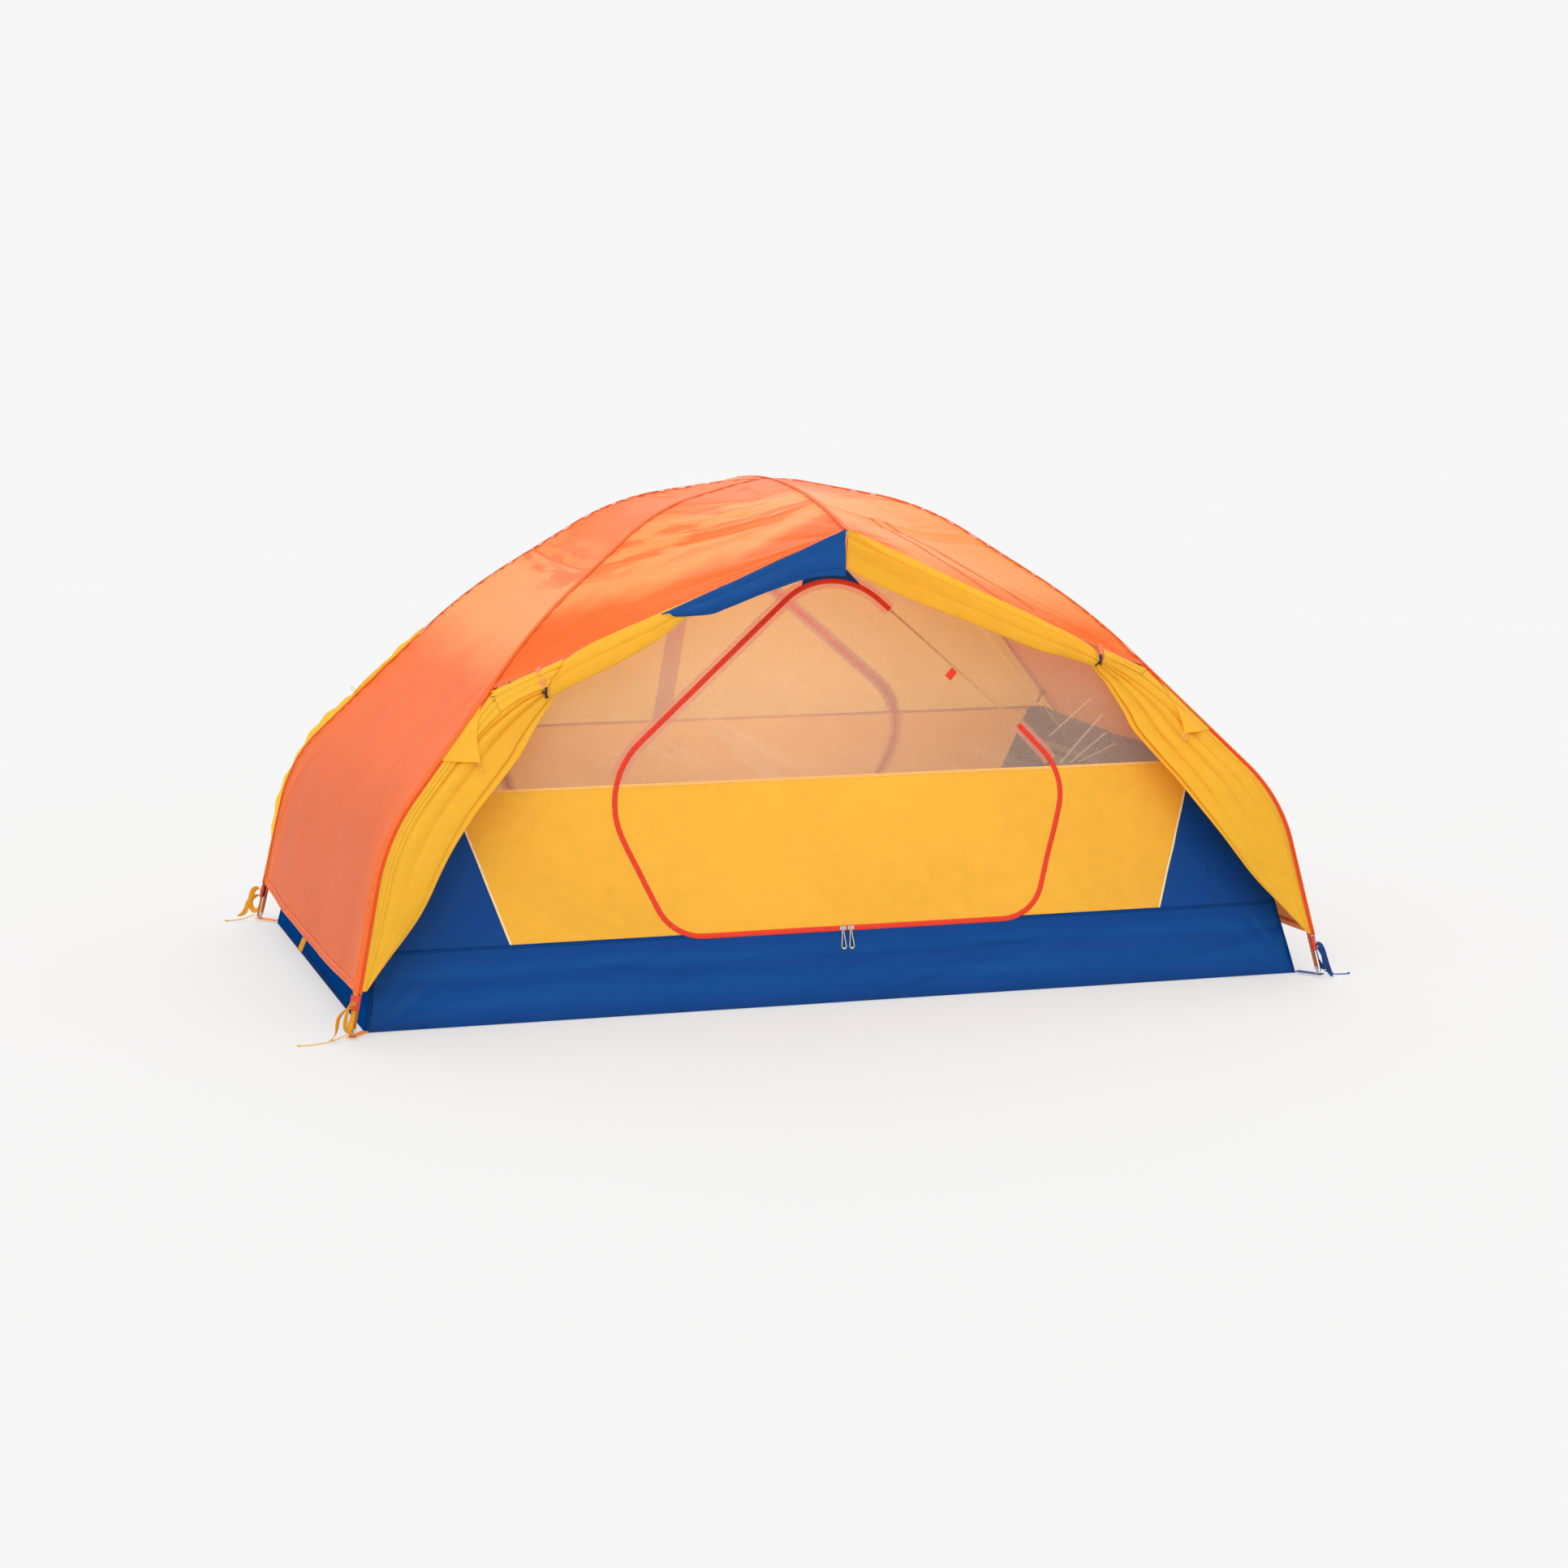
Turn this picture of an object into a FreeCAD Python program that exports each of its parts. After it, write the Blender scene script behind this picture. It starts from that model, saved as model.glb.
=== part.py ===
# Freestanding dome tent: two main poles crossing corner to corner, a brow pole over the top,
# an inner tent with a bathtub floor and two doors, and a rainfly whose front vestibule is
# tied back and whose rear vestibule is zipped shut.
# Frame: X along the tent, -Y the open front, +Z up, origin on the ground under the crossing.
import FreeCAD, Part
import math
import os
import Sketcher

V = FreeCAD.Vector
Rot = FreeCAD.Rotation
Plc = FreeCAD.Placement
os.makedirs("parts", exist_ok=True)
doc = FreeCAD.newDocument("dome_tent")

# ---------------------------------------------------------------- driving dimensions, mm
DIMS = [
    ("floor_length", 2340), ("floor_width", 1400), ("foot_x", 1209), ("foot_y", 750),
    ("pole_dia", 9), ("pole_bore", 7.6), ("ferrule_dia", 7.4), ("ferrule_length", 110),
    ("brow_dia", 8.5), ("brow_reach", 655), ("brow_drop", 85), ("crossing_step", 12.4),
    ("tip_nub_dia", 5), ("tip_length", 24), ("fabric", 2), ("fly_gap", 13), ("inner_gap", 40),
    ("tub_height", 172), ("panel_height", 528), ("junction_height", 780), ("patch_height", 1030),
    ("wall_lean_deg", 14.68), ("seam_gap", 4), ("zip_width", 9), ("zip_thick", 3),
    ("hem_height", 105), ("roof_end", 985), ("vestibule_reach", 1330), ("vestibule_hem", 60),
    ("slider_length", 16), ("slider_width", 8.6), ("slider_thick", 4), ("slider_gap", 0.4),
    ("pull_dia", 2), ("stake_cord_dia", 3), ("webbing_width", 20),
    ("webbing_thick", 1.6), ("buckle_length", 34), ("buckle_width", 27), ("buckle_thick", 7),
    ("toggle_length", 26), ("toggle_dia", 6), ("hub_dia", 46), ("hub_height", 20),
    ("clip_height", 12), ("clip_wall", 2.4), ("grommet_dia", 15), ("grommet_bore", 6.4),
]
sheet = doc.addObject("Spreadsheet::Sheet", "Dims")
for row, (alias, value) in enumerate(DIMS, start=1):
    sheet.set("A%d" % row, alias)
    sheet.set("B%d" % row, str(value))
    sheet.setAlias("B%d" % row, alias)
doc.recompute()


def dim(name):
    return float(sheet.get(name))


NODES = []
LEAN = math.radians(dim("wall_lean_deg"))
HALF_L, HALF_W = dim("floor_length") / 2, dim("floor_width") / 2
FOOT = math.hypot(dim("foot_x"), dim("foot_y"))
COS, SIN = dim("foot_x") / FOOT, dim("foot_y") / FOOT
FABRIC = dim("fabric")
TURN = Plc(V(), Rot(V(0, 0, 1), 180))


def keep(obj, label):
    obj.Label = label
    NODES.append(obj)
    return obj


def feature(label, shape, place=Plc()):
    obj = doc.addObject("Part::Feature", label + "_shape")
    obj.Shape = shape
    obj.Placement = place
    return keep(obj, label)


def bind(obj, **exprs):
    for prop, expr in exprs.items():
        obj.setExpression(prop, expr)
    return obj


def spin(angle):
    return Plc(V(), Rot(V(0, 0, 1), angle))


# ---------------------------------------------------------------- paths and tubes
def rounded_path(points, shares):
    """Straight runs joined by tangent arcs; shares[i] is the tangent length at inner point i."""
    edges, cursor, radii = [], points[0], []
    for i in range(1, len(points) - 1):
        a, b, c = points[i - 1], points[i], points[i + 1]
        u, w = (a - b).normalize(), (c - b).normalize()
        half = u.getAngle(w) / 2
        cut = shares[i - 1]
        radius = cut * math.tan(half)
        start, end = b + u * cut, b + w * cut
        bis = (u + w).normalize()
        mid = b + bis * (math.hypot(radius, cut) - radius)
        if (start - cursor).Length > 1e-6:
            edges.append(Part.LineSegment(cursor, start).toShape())
        edges.append(Part.Arc(start, mid, end).toShape())
        cursor = end
        radii.append(radius)
    edges.append(Part.LineSegment(cursor, points[-1]).toShape())
    return Part.Wire(edges), radii


def tube(points, shares, outer, inner=0.0):
    path, radii = rounded_path(points, shares)
    start = points[0]
    along = points[1] - points[0]
    body = None
    for dia in (outer, inner):
        if dia <= 0:
            continue
        ring = Part.Wire([Part.Circle(start, along, dia / 2).toShape()])
        solid = path.makePipeShell([ring], True, False)
        body = solid if body is None else body.cut(solid)
    if body.ShapeType != "Solid":
        body = body.Solids[0]
    return body, path.Length, radii


# Half of a main pole in its own upright plane: distance from the crossing, height.
RIB = [(0, 1211), (400, 1146), (820, 893), (1310, 440), (FOOT, 0)]
RIB_SHARES = [150, 130, 150, 110]


def leg_point(direction, r, z):
    return V(direction[0] * r, direction[1] * r, z)


def pole_sections(direction, step):
    """Seven hollow sections of one pole, cut square at the middle of each straight run."""
    half = [(r, z - (step if i == 0 else 0)) for i, (r, z) in enumerate(RIB)]
    foot_dir = V(half[4][0] - half[3][0], 0, half[4][1] - half[3][1]).normalize()
    cutoff = dim("tip_length") / abs(foot_dir.z)
    half[4] = (half[4][0] - foot_dir.x * cutoff, half[4][1] - foot_dir.z * cutoff)
    full = [(-r, z) for r, z in reversed(half)] + half[1:]
    shares = RIB_SHARES[:0:-1] + [RIB_SHARES[0]] + RIB_SHARES[1:]
    pts = [leg_point(direction, r, z) for r, z in full]
    mids = [(pts[i] + pts[i + 1]) * 0.5 for i in range(1, len(pts) - 2)]
    stops = [pts[0]] + mids + [pts[-1]]
    solids, plugs = [], []
    for i in range(len(stops) - 1):
        solid, length, radii = tube([stops[i], pts[i + 1], stops[i + 1]], [shares[i]],
                                    dim("pole_dia"), dim("pole_bore"))
        solids.append(solid)
        print("pole section", i, "length %.0f" % length, "bend radius %.0f" % radii[0])
    for mid, nxt in zip(mids, pts[2:]):
        along = (nxt - mid).normalize()
        half_len = dim("ferrule_length") / 2
        plugs.append(Part.makeCylinder(dim("ferrule_dia") / 2, 2 * half_len,
                                       mid - along * half_len, along))
    return solids, plugs


DIR_A, DIR_B = (COS, SIN), (-COS, SIN)
sections_a, plugs_a = pole_sections(DIR_A, 0)
sections_b, plugs_b = pole_sections(DIR_B, dim("crossing_step"))
feature("pole_a_sections", Part.Compound(sections_a))
feature("pole_b_sections", Part.Compound(sections_b))

full_rib = [V(-r, 0, z) for r, z in reversed(RIB)] + [V(r, 0, z) for r, z in RIB[1:]]
rib_wire, _ = rounded_path(full_rib, RIB_SHARES[:0:-1] + [RIB_SHARES[0]] + RIB_SHARES[1:])
RIB_POINTS = [p for p in rib_wire.discretize(Number=241) if p.x > -1e-6]
APEX = RIB_POINTS[0].z
LOWER_APEX = sections_b[3].optimalBoundingBox(False).ZMax - dim("pole_dia") / 2


def rib_offset(offset):
    """Rib moved by offset along its outward normal, as (r, z) from the crossing to the foot."""
    out = []
    for i, p in enumerate(RIB_POINTS):
        a = RIB_POINTS[max(i - 1, 0)]
        b = RIB_POINTS[min(i + 1, len(RIB_POINTS) - 1)]
        run = (b - a).normalize()
        if i == 0:
            run = V(1, 0, 0)
        out.append((p.x - run.z * offset, p.z + run.x * offset))
    return out


def at_r(curve, r):
    for (ra, za), (rb, zb) in zip(curve, curve[1:]):
        if ra <= r <= rb:
            return za + (zb - za) * (r - ra) / (rb - ra)
    return curve[-1][1]


def at_z(curve, z):
    for (ra, za), (rb, zb) in zip(curve, curve[1:]):
        if zb <= z <= za:
            return ra + (rb - ra) * (za - z) / (za - zb)
    return curve[-1][0]


FLY = rib_offset(dim("fly_gap"))
INNER = rib_offset(-dim("inner_gap"))
INNER_FOOT = at_z(INNER, 0)
IN_COS, IN_SIN = HALF_L / INNER_FOOT, HALF_W / INNER_FOOT

# Brow pole: one shallow arc over the crossing, along Y.
BROW_R = (dim("brow_reach") ** 2 + dim("brow_drop") ** 2) / (2 * dim("brow_drop"))
BROW_TOP = APEX + dim("pole_dia") / 2 + 0.5 + dim("brow_dia") / 2


def brow_z(y):
    return BROW_TOP - BROW_R + math.sqrt(BROW_R ** 2 - y * y)


brow_arc = Part.Arc(V(0, -dim("brow_reach"), brow_z(dim("brow_reach"))), V(0, 0, BROW_TOP),
                    V(0, dim("brow_reach"), brow_z(dim("brow_reach")))).toShape()
brow_start = brow_arc.valueAt(brow_arc.FirstParameter)
brow_ring = Part.Wire([Part.Circle(brow_start, brow_arc.tangentAt(brow_arc.FirstParameter),
                                   dim("brow_dia") / 2).toShape()])
feature("brow_pole", Part.Wire([brow_arc]).makePipeShell([brow_ring], True, False))


# ---------------------------------------------------------------- sketched plates
def plate(name, loops, alias, place, rise=0.0):
    """A flat cut piece: one sketch of closed loops padded by the thickness in a Dims cell."""
    body = doc.addObject("PartDesign::Body", name + "_body")
    plane = [o for o in body.Origin.OriginFeatures if o.Role == "XY_Plane"][0]
    sketch = body.newObject("Sketcher::SketchObject", name + "_sketch")
    sketch.AttachmentSupport = [(plane, "")]
    sketch.MapMode = "FlatFace"
    for loop in loops:
        for item in loop:
            sketch.addGeometry(item, False)
    pad = body.newObject("PartDesign::Pad", name + "_pad")
    pad.Profile = sketch
    pad.setExpression("Length", "Dims." + alias)
    body.Tip = pad
    body.Placement = place * Plc(V(0, 0, rise), Rot())
    return body


def polygon(points):
    pts = [V(x, y, 0) for x, y in points]
    return [Part.LineSegment(a, b) for a, b in zip(pts, pts[1:] + pts[:1])]


def rounded_loop(points, cuts):
    """Closed outline with a tangent arc at each corner; a cut of 0 keeps the corner sharp."""
    n = len(points)
    pts = [V(x, y, 0) for x, y in points]
    starts, ends, mids = [], [], []
    for i in range(n):
        a, b, c = pts[i - 1], pts[i], pts[(i + 1) % n]
        u, w = (a - b).normalize(), (c - b).normalize()
        cut = cuts[i]
        starts.append(b + u * cut)
        ends.append(b + w * cut)
        if cut:
            radius = cut * math.tan(u.getAngle(w) / 2)
            mids.append(b + (u + w).normalize() * (math.hypot(radius, cut) - radius))
        else:
            mids.append(None)
    out = []
    for i in range(n):
        if mids[i] is not None:
            out.append(Part.Arc(starts[i], mids[i], ends[i]))
        out.append(Part.LineSegment(ends[i], starts[(i + 1) % n]))
    return out


def moved_loop(points, cuts, shift):
    """Outline moved outward by shift (inward if negative); arcs keep their centres."""
    n = len(points)
    pts, new, grown = [V(x, y, 0) for x, y in points], [], []
    area = sum(a.x * b.y - b.x * a.y for a, b in zip(pts, pts[1:] + pts[:1]))
    turn = 1 if area > 0 else -1
    for i in range(n):
        a, b, c = pts[i - 1], pts[i], pts[(i + 1) % n]
        d1, d2 = (b - a).normalize(), (c - b).normalize()
        n1 = V(d1.y, -d1.x, 0) * turn
        n2 = V(d2.y, -d2.x, 0) * turn
        bis = (n1 + n2).normalize()
        new.append(b + bis * (shift / bis.dot(n1)))
        half = math.acos(max(-1, min(1, d1.dot(d2)))) / 2
        grown.append(cuts[i] + shift * math.tan(half) if cuts[i] else 0)
    return [(p.x, p.y) for p in new], grown


# ---------------------------------------------------------------- fabric strips
def strip_solid(rail_a, rail_b, thick=None, ruled=False):
    """Thin closed solid hung between two rails of the outer surface, thickened inward."""
    thick = FABRIC if thick is None else thick
    wires = []
    last = len(rail_a) - 1
    for i in range(last + 1):
        lo, hi = max(i - 1, 0), min(i + 1, last)
        run = (rail_a[hi] - rail_a[lo]) + (rail_b[hi] - rail_b[lo])
        normal = run.cross(rail_b[i] - rail_a[i]).normalize()
        if normal.dot((rail_a[i] + rail_b[i]) * 0.5 - V(0, 0, 300)) < 0:
            normal = normal * -1
        a, b = rail_a[i], rail_b[i]
        wires.append(Part.makePolygon([a, b, b - normal * thick, a - normal * thick, a]))
    return Part.makeLoft(wires, True, ruled or len(wires) < 3)


def pulled_in(rail_a, rail_b, gap):
    """Both rails moved towards each other along the rulings, to leave room for the seam."""
    out_a, out_b = [], []
    for a, b in zip(rail_a, rail_b):
        way = (b - a).normalize() * gap
        out_a.append(a + way)
        out_b.append(b - way)
    return out_a, out_b


def end_rails(curve, cos_, sin_, rs, side, limit=None):
    """Rails of an end panel, at given distances from the crossing along the two ribs."""
    front, rear = [], []
    for r in rs:
        z = at_r(curve, r)
        y = sin_ * r
        if limit is not None:
            y = min(y, limit(z))
        front.append(V(side * cos_ * r, -y, z))
        rear.append(V(side * cos_ * r, y, z))
    return front, rear


def spread(lo, hi, n):
    return [lo + (hi - lo) * i / (n - 1) for i in range(n)]


# ---------------------------------------------------------------- inner tent walls
FRONT = Plc(V(0, -HALF_W, 0), Rot(V(1, 0, 0), 90 - math.degrees(LEAN)))
REAR = TURN * FRONT


def up(z):
    """Height above the ground to distance up the leaning wall."""
    return z / math.cos(LEAN)


def wall_y(z):
    return HALF_W - z * math.tan(LEAN)


def wall_x(z):
    return IN_COS * at_z(INNER, z) - dim("seam_gap")


# Door outline on the wall plane, from the lower end of the hinge seam round to its upper end.
DOOR = [(487, up(631)), (178, up(915)), (37, up(1049)), (-590, up(528)), (-428, up(172)),
        (484, up(172)), (601, up(505))]
DOOR_CUTS = [0, 0, 160, 150, 78, 80, 85]
TUB, PANEL = dim("tub_height"), dim("panel_height")
JOIN, PATCH = dim("junction_height"), dim("patch_height")
HOLE, HOLE_CUTS = moved_loop(DOOR, DOOR_CUTS, 5.2)
LEAF, LEAF_CUTS = moved_loop(DOOR, DOOR_CUTS, -5.2)


def band(lo, hi):
    """Wall outline between two heights, as straight lengths up the slope."""
    zs = spread(lo, hi, 4)
    left = [(-wall_x(z), up(z)) for z in zs]
    return [(-x, y) for x, y in left] + left[::-1]


def wall_plate(name, outline, cutter, place):
    """Flat wall piece with the doorway cut out of it."""
    blank = plate(name, [polygon(outline)], "fabric", place)
    hole = plate(name + "_hole", [rounded_loop(*cutter)], "floor_width",
                 place, -dim("floor_width") / 2)
    cut = doc.addObject("Part::Cut", name + "_cut")
    cut.Base, cut.Tool = blank, hole
    return cut


def leaf_plate(name, lo, hi, place):
    """Door leaf between two heights: the inset door outline kept inside that band."""
    leaf = plate(name, [rounded_loop(LEAF, LEAF_CUTS)], "fabric", place)
    keep_in = plate(name + "_band", [polygon([(-900, up(lo)), (900, up(lo)), (900, up(hi)),
                                              (-900, up(hi))])], "floor_width", place,
                    -dim("floor_width") / 2)
    common = doc.addObject("Part::Common", name + "_common")
    common.Base, common.Tool = leaf, keep_in
    return common


def group(label, objects):
    comp = doc.addObject("Part::Compound", label + "_group")
    comp.Links = objects
    return keep(comp, label)


def gusset_x(z):
    """Sewn edge between the corner gusset and the solid panel."""
    return 815 + 0.345 * (z - TUB)


def wedge_outline(side):
    """Blue corner gusset beside the solid panel, narrowing upward."""
    outer = [(side * wall_x(z), up(z)) for z in spread(TUB + 3, PANEL, 4)]
    return outer + [(side * gusset_x(PANEL), up(PANEL)), (side * gusset_x(TUB), up(TUB + 3))]


def panel_outline():
    right = [(gusset_x(TUB) - 4, up(TUB + 3)), (gusset_x(PANEL) - 4, up(PANEL))]
    return right + [(-x, y) for x, y in reversed(right)]


def mesh_outline():
    zs = spread(PANEL + 3, JOIN, 4)
    right = [(wall_x(z), up(z)) for z in zs] + [(78, up(PATCH - 12))]
    return right + [(-x, y) for x, y in reversed(right)]


HOLE_LOOP = (HOLE, HOLE_CUTS)
tub_walls, wedges, panels, meshes, hinge_tapes, patches = [], [], [], [], [], []
for tag, place in (("front", FRONT), ("rear", REAR)):
    tub_walls.append(wall_plate("tub_" + tag, band(3, TUB), HOLE_LOOP, place))
    for side in (-1, 1):
        wedges.append(plate("wedge_%s_%d" % (tag, side + 1), [polygon(wedge_outline(side))],
                            "fabric", place))
    panels.append(wall_plate("panel_" + tag, panel_outline(), HOLE_LOOP, place))
    meshes.append(wall_plate("mesh_" + tag, mesh_outline(), HOLE_LOOP, place))
    (xa, ya), (xb, yb) = DOOR[0], DOOR[1]
    run = V(xb - xa, yb - ya, 0).normalize()
    side = V(run.y, -run.x, 0) * 4.4
    ends = (V(xa, ya, 0) + run * 6, V(xb, yb, 0) - run * 6)
    tape = [ends[0] + side, ends[1] + side, ends[1] - side, ends[0] - side]
    hinge_tapes.append(plate("hinge_tape_" + tag, [polygon([(p.x, p.y) for p in tape])],
                             "fabric", place))
    patches.append(plate("patch_" + tag, [polygon([(-74, up(PATCH - 9)), (74, up(PATCH - 9)),
                                                   (30, up(PATCH + 40)), (-30, up(PATCH + 40))])],
                         "fabric", place))

group("lower_panels", panels)
group("mesh_walls", meshes)
group("corner_wedges", wedges)
group("door_hinge_tapes", hinge_tapes)
group("top_patches", patches)
for tag, place in (("front", FRONT), ("rear", REAR)):
    keep(leaf_plate("door_panel_" + tag, TUB - 10, PANEL - 1, place), "door_panel_" + tag)
    keep(leaf_plate("door_mesh_" + tag, PANEL + 1, 1100, place), "door_mesh_" + tag)

floor = doc.addObject("Part::Box", "floor_box")
bind(floor, Length="Dims.floor_length", Width="Dims.floor_width", Height="Dims.fabric")
floor.Placement = Plc(V(-HALF_L, -HALF_W, 0), Rot())
keep(floor, "floor_sheet")

tub_ends = []
for side in (-1, 1):
    rails = end_rails(INNER, IN_COS, IN_SIN, [at_z(INNER, 3), at_z(INNER, TUB)], side,
                      lambda z: wall_y(z) - 4)
    tub_ends.append(doc.addObject("Part::Feature", "tub_end_%d" % (side + 1)))
    tub_ends[-1].Shape = strip_solid(*rails)
group("tub_walls", tub_walls + tub_ends)

END_SHARES = [1.0, 0.975, 0.95, 0.91, 0.86, 0.78, 0.68, 0.57, 0.46, 0.36, 0.26, 0.16, 0.06, 0.022]
for tag, side in (("left", -1), ("right", 1)):
    low = at_z(INNER, TUB + 3)
    rails = end_rails(INNER, IN_COS, IN_SIN, [low * q for q in END_SHARES], side,
                      lambda z: wall_y(z) - 4)
    feature("mesh_end_" + tag, strip_solid(*pulled_in(*rails, dim("seam_gap"))))


def roof_rails(curve, cos_, sin_, r_end, ridge, y_end, side, face, first=24.0, n=9):
    """Rails of a roof panel: down a rib, and along the ridge line x = 0."""
    down, along = [], []
    for i in range(n):
        part = i / (n - 1)
        r = first + (r_end - first) * part
        y = first * 0.6 + (y_end - first * 0.6) * part
        down.append(V(side * cos_ * r, face * sin_ * r, at_r(curve, r)))
        along.append(V(0, face * y, ridge(y)))
    return down, along


def ceiling_ridge(y):
    top = at_r(INNER, 0)
    reach = wall_y(PATCH)
    return top - (top - PATCH + 14) * (y / reach) ** 1.2


ceilings = []
for face in (-1, 1):
    for side in (-1, 1):
        rails = roof_rails(INNER, IN_COS, IN_SIN, at_z(INNER, JOIN + 14), ceiling_ridge,
                           wall_y(PATCH) - 6, side, face, 30)
        ceilings.append(strip_solid(*pulled_in(*rails, dim("seam_gap"))))
feature("mesh_ceiling", Part.Compound(ceilings))

# ---------------------------------------------------------------- door zips, sliders, pulls
HALF_ZIP = dim("zip_width") / 2
for tag, place in (("front", FRONT), ("rear", REAR)):
    outer = plate("zip_out_" + tag, [rounded_loop(*moved_loop(DOOR, DOOR_CUTS, HALF_ZIP))],
                  "zip_thick", place)
    inner = plate("zip_in_" + tag, [rounded_loop(*moved_loop(DOOR, DOOR_CUTS, -HALF_ZIP))],
                  "floor_width", place, -dim("floor_width") / 2)
    (xa, ya), (xb, yb) = DOOR[0], DOOR[1]
    run = V(xb - xa, yb - ya, 0).normalize()
    side = V(run.y, -run.x, 0)
    mouth = [V(xa, ya, 0) + side * 40, V(xb, yb, 0) + side * 40,
             V(xb, yb, 0) - side * 40, V(xa, ya, 0) - side * 40]
    gap = plate("zip_gap_" + tag, [polygon([(p.x, p.y) for p in mouth])], "floor_width", place,
                -dim("floor_width") / 2)
    ring = doc.addObject("Part::Cut", "zip_ring_" + tag)
    ring.Base, ring.Tool = outer, inner
    zip_obj = doc.addObject("Part::Cut", "zip_cut_" + tag)
    zip_obj.Base, zip_obj.Tool = ring, gap
    doc.recompute()
group("door_zips", [doc.getObject("zip_cut_front"), doc.getObject("zip_cut_rear")])


def slider(label, place):
    """Zip slider: a flat body with a raised bridge across it."""
    base = doc.addObject("Part::Box", label + "_base")
    bind(base, Length="Dims.slider_length", Width="Dims.slider_width",
         Height="Dims.slider_thick")
    base.Placement = Plc(V(-dim("slider_length") / 2, -dim("slider_width") / 2, 0), Rot())
    bridge = doc.addObject("Part::Box", label + "_bridge")
    bridge.Length, bridge.Width, bridge.Height = 8, 2.4, 2.6
    bridge.Placement = Plc(V(-4, -1.2, dim("slider_thick") - 0.6), Rot())
    fused = doc.addObject("Part::Fuse", label + "_fuse")
    fused.Base, fused.Tool = base, bridge
    fused.Placement = place
    return keep(fused, label)


# Route of a pull cord in the plane of the wall, from one side of the slider's bridge to the other.
PULL = [(-1.8, 0), (-3.0, -17), (-4.6, -29), (-5.7, -37), (-5.0, -42), (-2.3, -45.8),
        (2.3, -45.8), (5.0, -42), (5.7, -37), (4.6, -29), (3.0, -17), (1.8, 0)]


def pull_cord(label, place):
    """Doubled pull cord lying down the wall from its slider, folded back at the bottom."""
    pts = [V(*p, 0) for p in PULL]
    runs = [(b - a).Length for a, b in zip(pts, pts[1:])]
    shares = [0.45 * min(a, b) for a, b in zip(runs, runs[1:])]
    solid, length, radii = tube(pts, shares, dim("pull_dia"))
    print(label, "length %.1f" % length, "radii", ["%.1f" % r for r in radii],
          "volume ratio %.3f" % (solid.Volume / (math.pi * length * dim("pull_dia") ** 2 / 4)))
    feature(label, solid, place)


SLIDER_RISE = dim("zip_thick") + dim("slider_gap")
for tag, place in (("front", FRONT), ("rear", REAR)):
    for hand, x in (("left", -6.0), ("right", 14.0)):
        spot = place * Plc(V(x, up(TUB), SLIDER_RISE), Rot())
        slider("slider_%s_%s" % (tag, hand), spot)
        hang = place * Plc(V(x, up(TUB) - dim("slider_width") / 2 - 0.3, SLIDER_RISE + 1.4), Rot())
        pull_cord("pull_%s_%s" % (tag, hand), hang)

# ---------------------------------------------------------------- fly
HEM_R = at_z(FLY, dim("hem_height"))
for tag, side in (("left", -1), ("right", 1)):
    rails = end_rails(FLY, COS, SIN, [HEM_R * q for q in END_SHARES], side)
    feature("fly_end_" + tag, strip_solid(*pulled_in(*rails, dim("seam_gap"))))

RIDGE_RISE = dim("brow_dia") / 2 + 1.5 + FABRIC
RIDGE_END = dim("brow_reach") + 8


def fly_ridge(y):
    return brow_z(min(y, dim("brow_reach"))) + RIDGE_RISE


for row, face in (("front", -1), ("rear", 1)):
    for tag, side in (("left", -1), ("right", 1)):
        rails = roof_rails(FLY, COS, SIN, dim("roof_end") - 3, fly_ridge, RIDGE_END - 3, side, face)
        feature("fly_roof_%s_%s" % (row, tag), strip_solid(*pulled_in(*rails, dim("seam_gap"))))

# Rear vestibule: each half hangs between a rib and the straight centre zip.
ZIP_TOP = V(0, RIDGE_END + 6, fly_ridge(RIDGE_END) - 4)
ZIP_LOW = V(0, dim("vestibule_reach"), dim("vestibule_hem"))
for tag, side in (("left", -1), ("right", 1)):
    down, middle = [], []
    z_hi, z_lo = at_r(FLY, dim("roof_end") + 4), dim("hem_height")
    for i in range(9):
        part = i / 8
        z = z_hi + (z_lo - z_hi) * part
        r = at_z(FLY, z)
        down.append(V(side * COS * r, SIN * r, z))
        middle.append(ZIP_TOP + (ZIP_LOW - ZIP_TOP) * part + V(side * 3, 0, 0))
    feature("vestibule_" + tag, strip_solid(*pulled_in(down, middle, dim("seam_gap"))))

zip_run = ZIP_TOP - ZIP_LOW
zip_up = V(zip_run).normalize()
zip_out = V(0, zip_up.z, -zip_up.y)
ZIP_PLACE = Plc(ZIP_LOW, Rot(V(-1, 0, 0), zip_up, zip_out, "ZXY"))
vest_zip = plate("vest_zip", [polygon([(-4.5, 2), (4.5, 2), (4.5, zip_run.Length - 6),
                                       (-4.5, zip_run.Length - 6)])], "zip_thick", ZIP_PLACE, -2)
keep(vest_zip, "vestibule_zip")
slider("vestibule_slider", ZIP_PLACE * Plc(V(0, 26, 1 + dim("slider_gap")),
                                           Rot(V(0, 0, 1), 90)))


# ---------------------------------------------------------------- tied-back front vestibule
def oval(centre, across, thick_dir, half_wide, half_thick):
    """Closed oval section through eight points."""
    pts = []
    for i in range(8):
        a = math.pi * 2 * i / 8
        pts.append(centre + across * (half_wide * math.cos(a)) + thick_dir * (half_thick
                                                                              * math.sin(a)))
    curve = Part.BSplineCurve()
    curve.interpolate(Points=pts, PeriodicFlag=True)
    return Part.Wire([curve.toShape()])


EDGE_TOP = V(0, -RIDGE_END, fly_ridge(RIDGE_END))
SEAM_Z = at_r(FLY, dim("roof_end"))


def edge_point(side, part):
    low = V(side * COS * dim("roof_end"), -SIN * dim("roof_end"), SEAM_Z)
    return EDGE_TOP + (low - EDGE_TOP) * part


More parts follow.
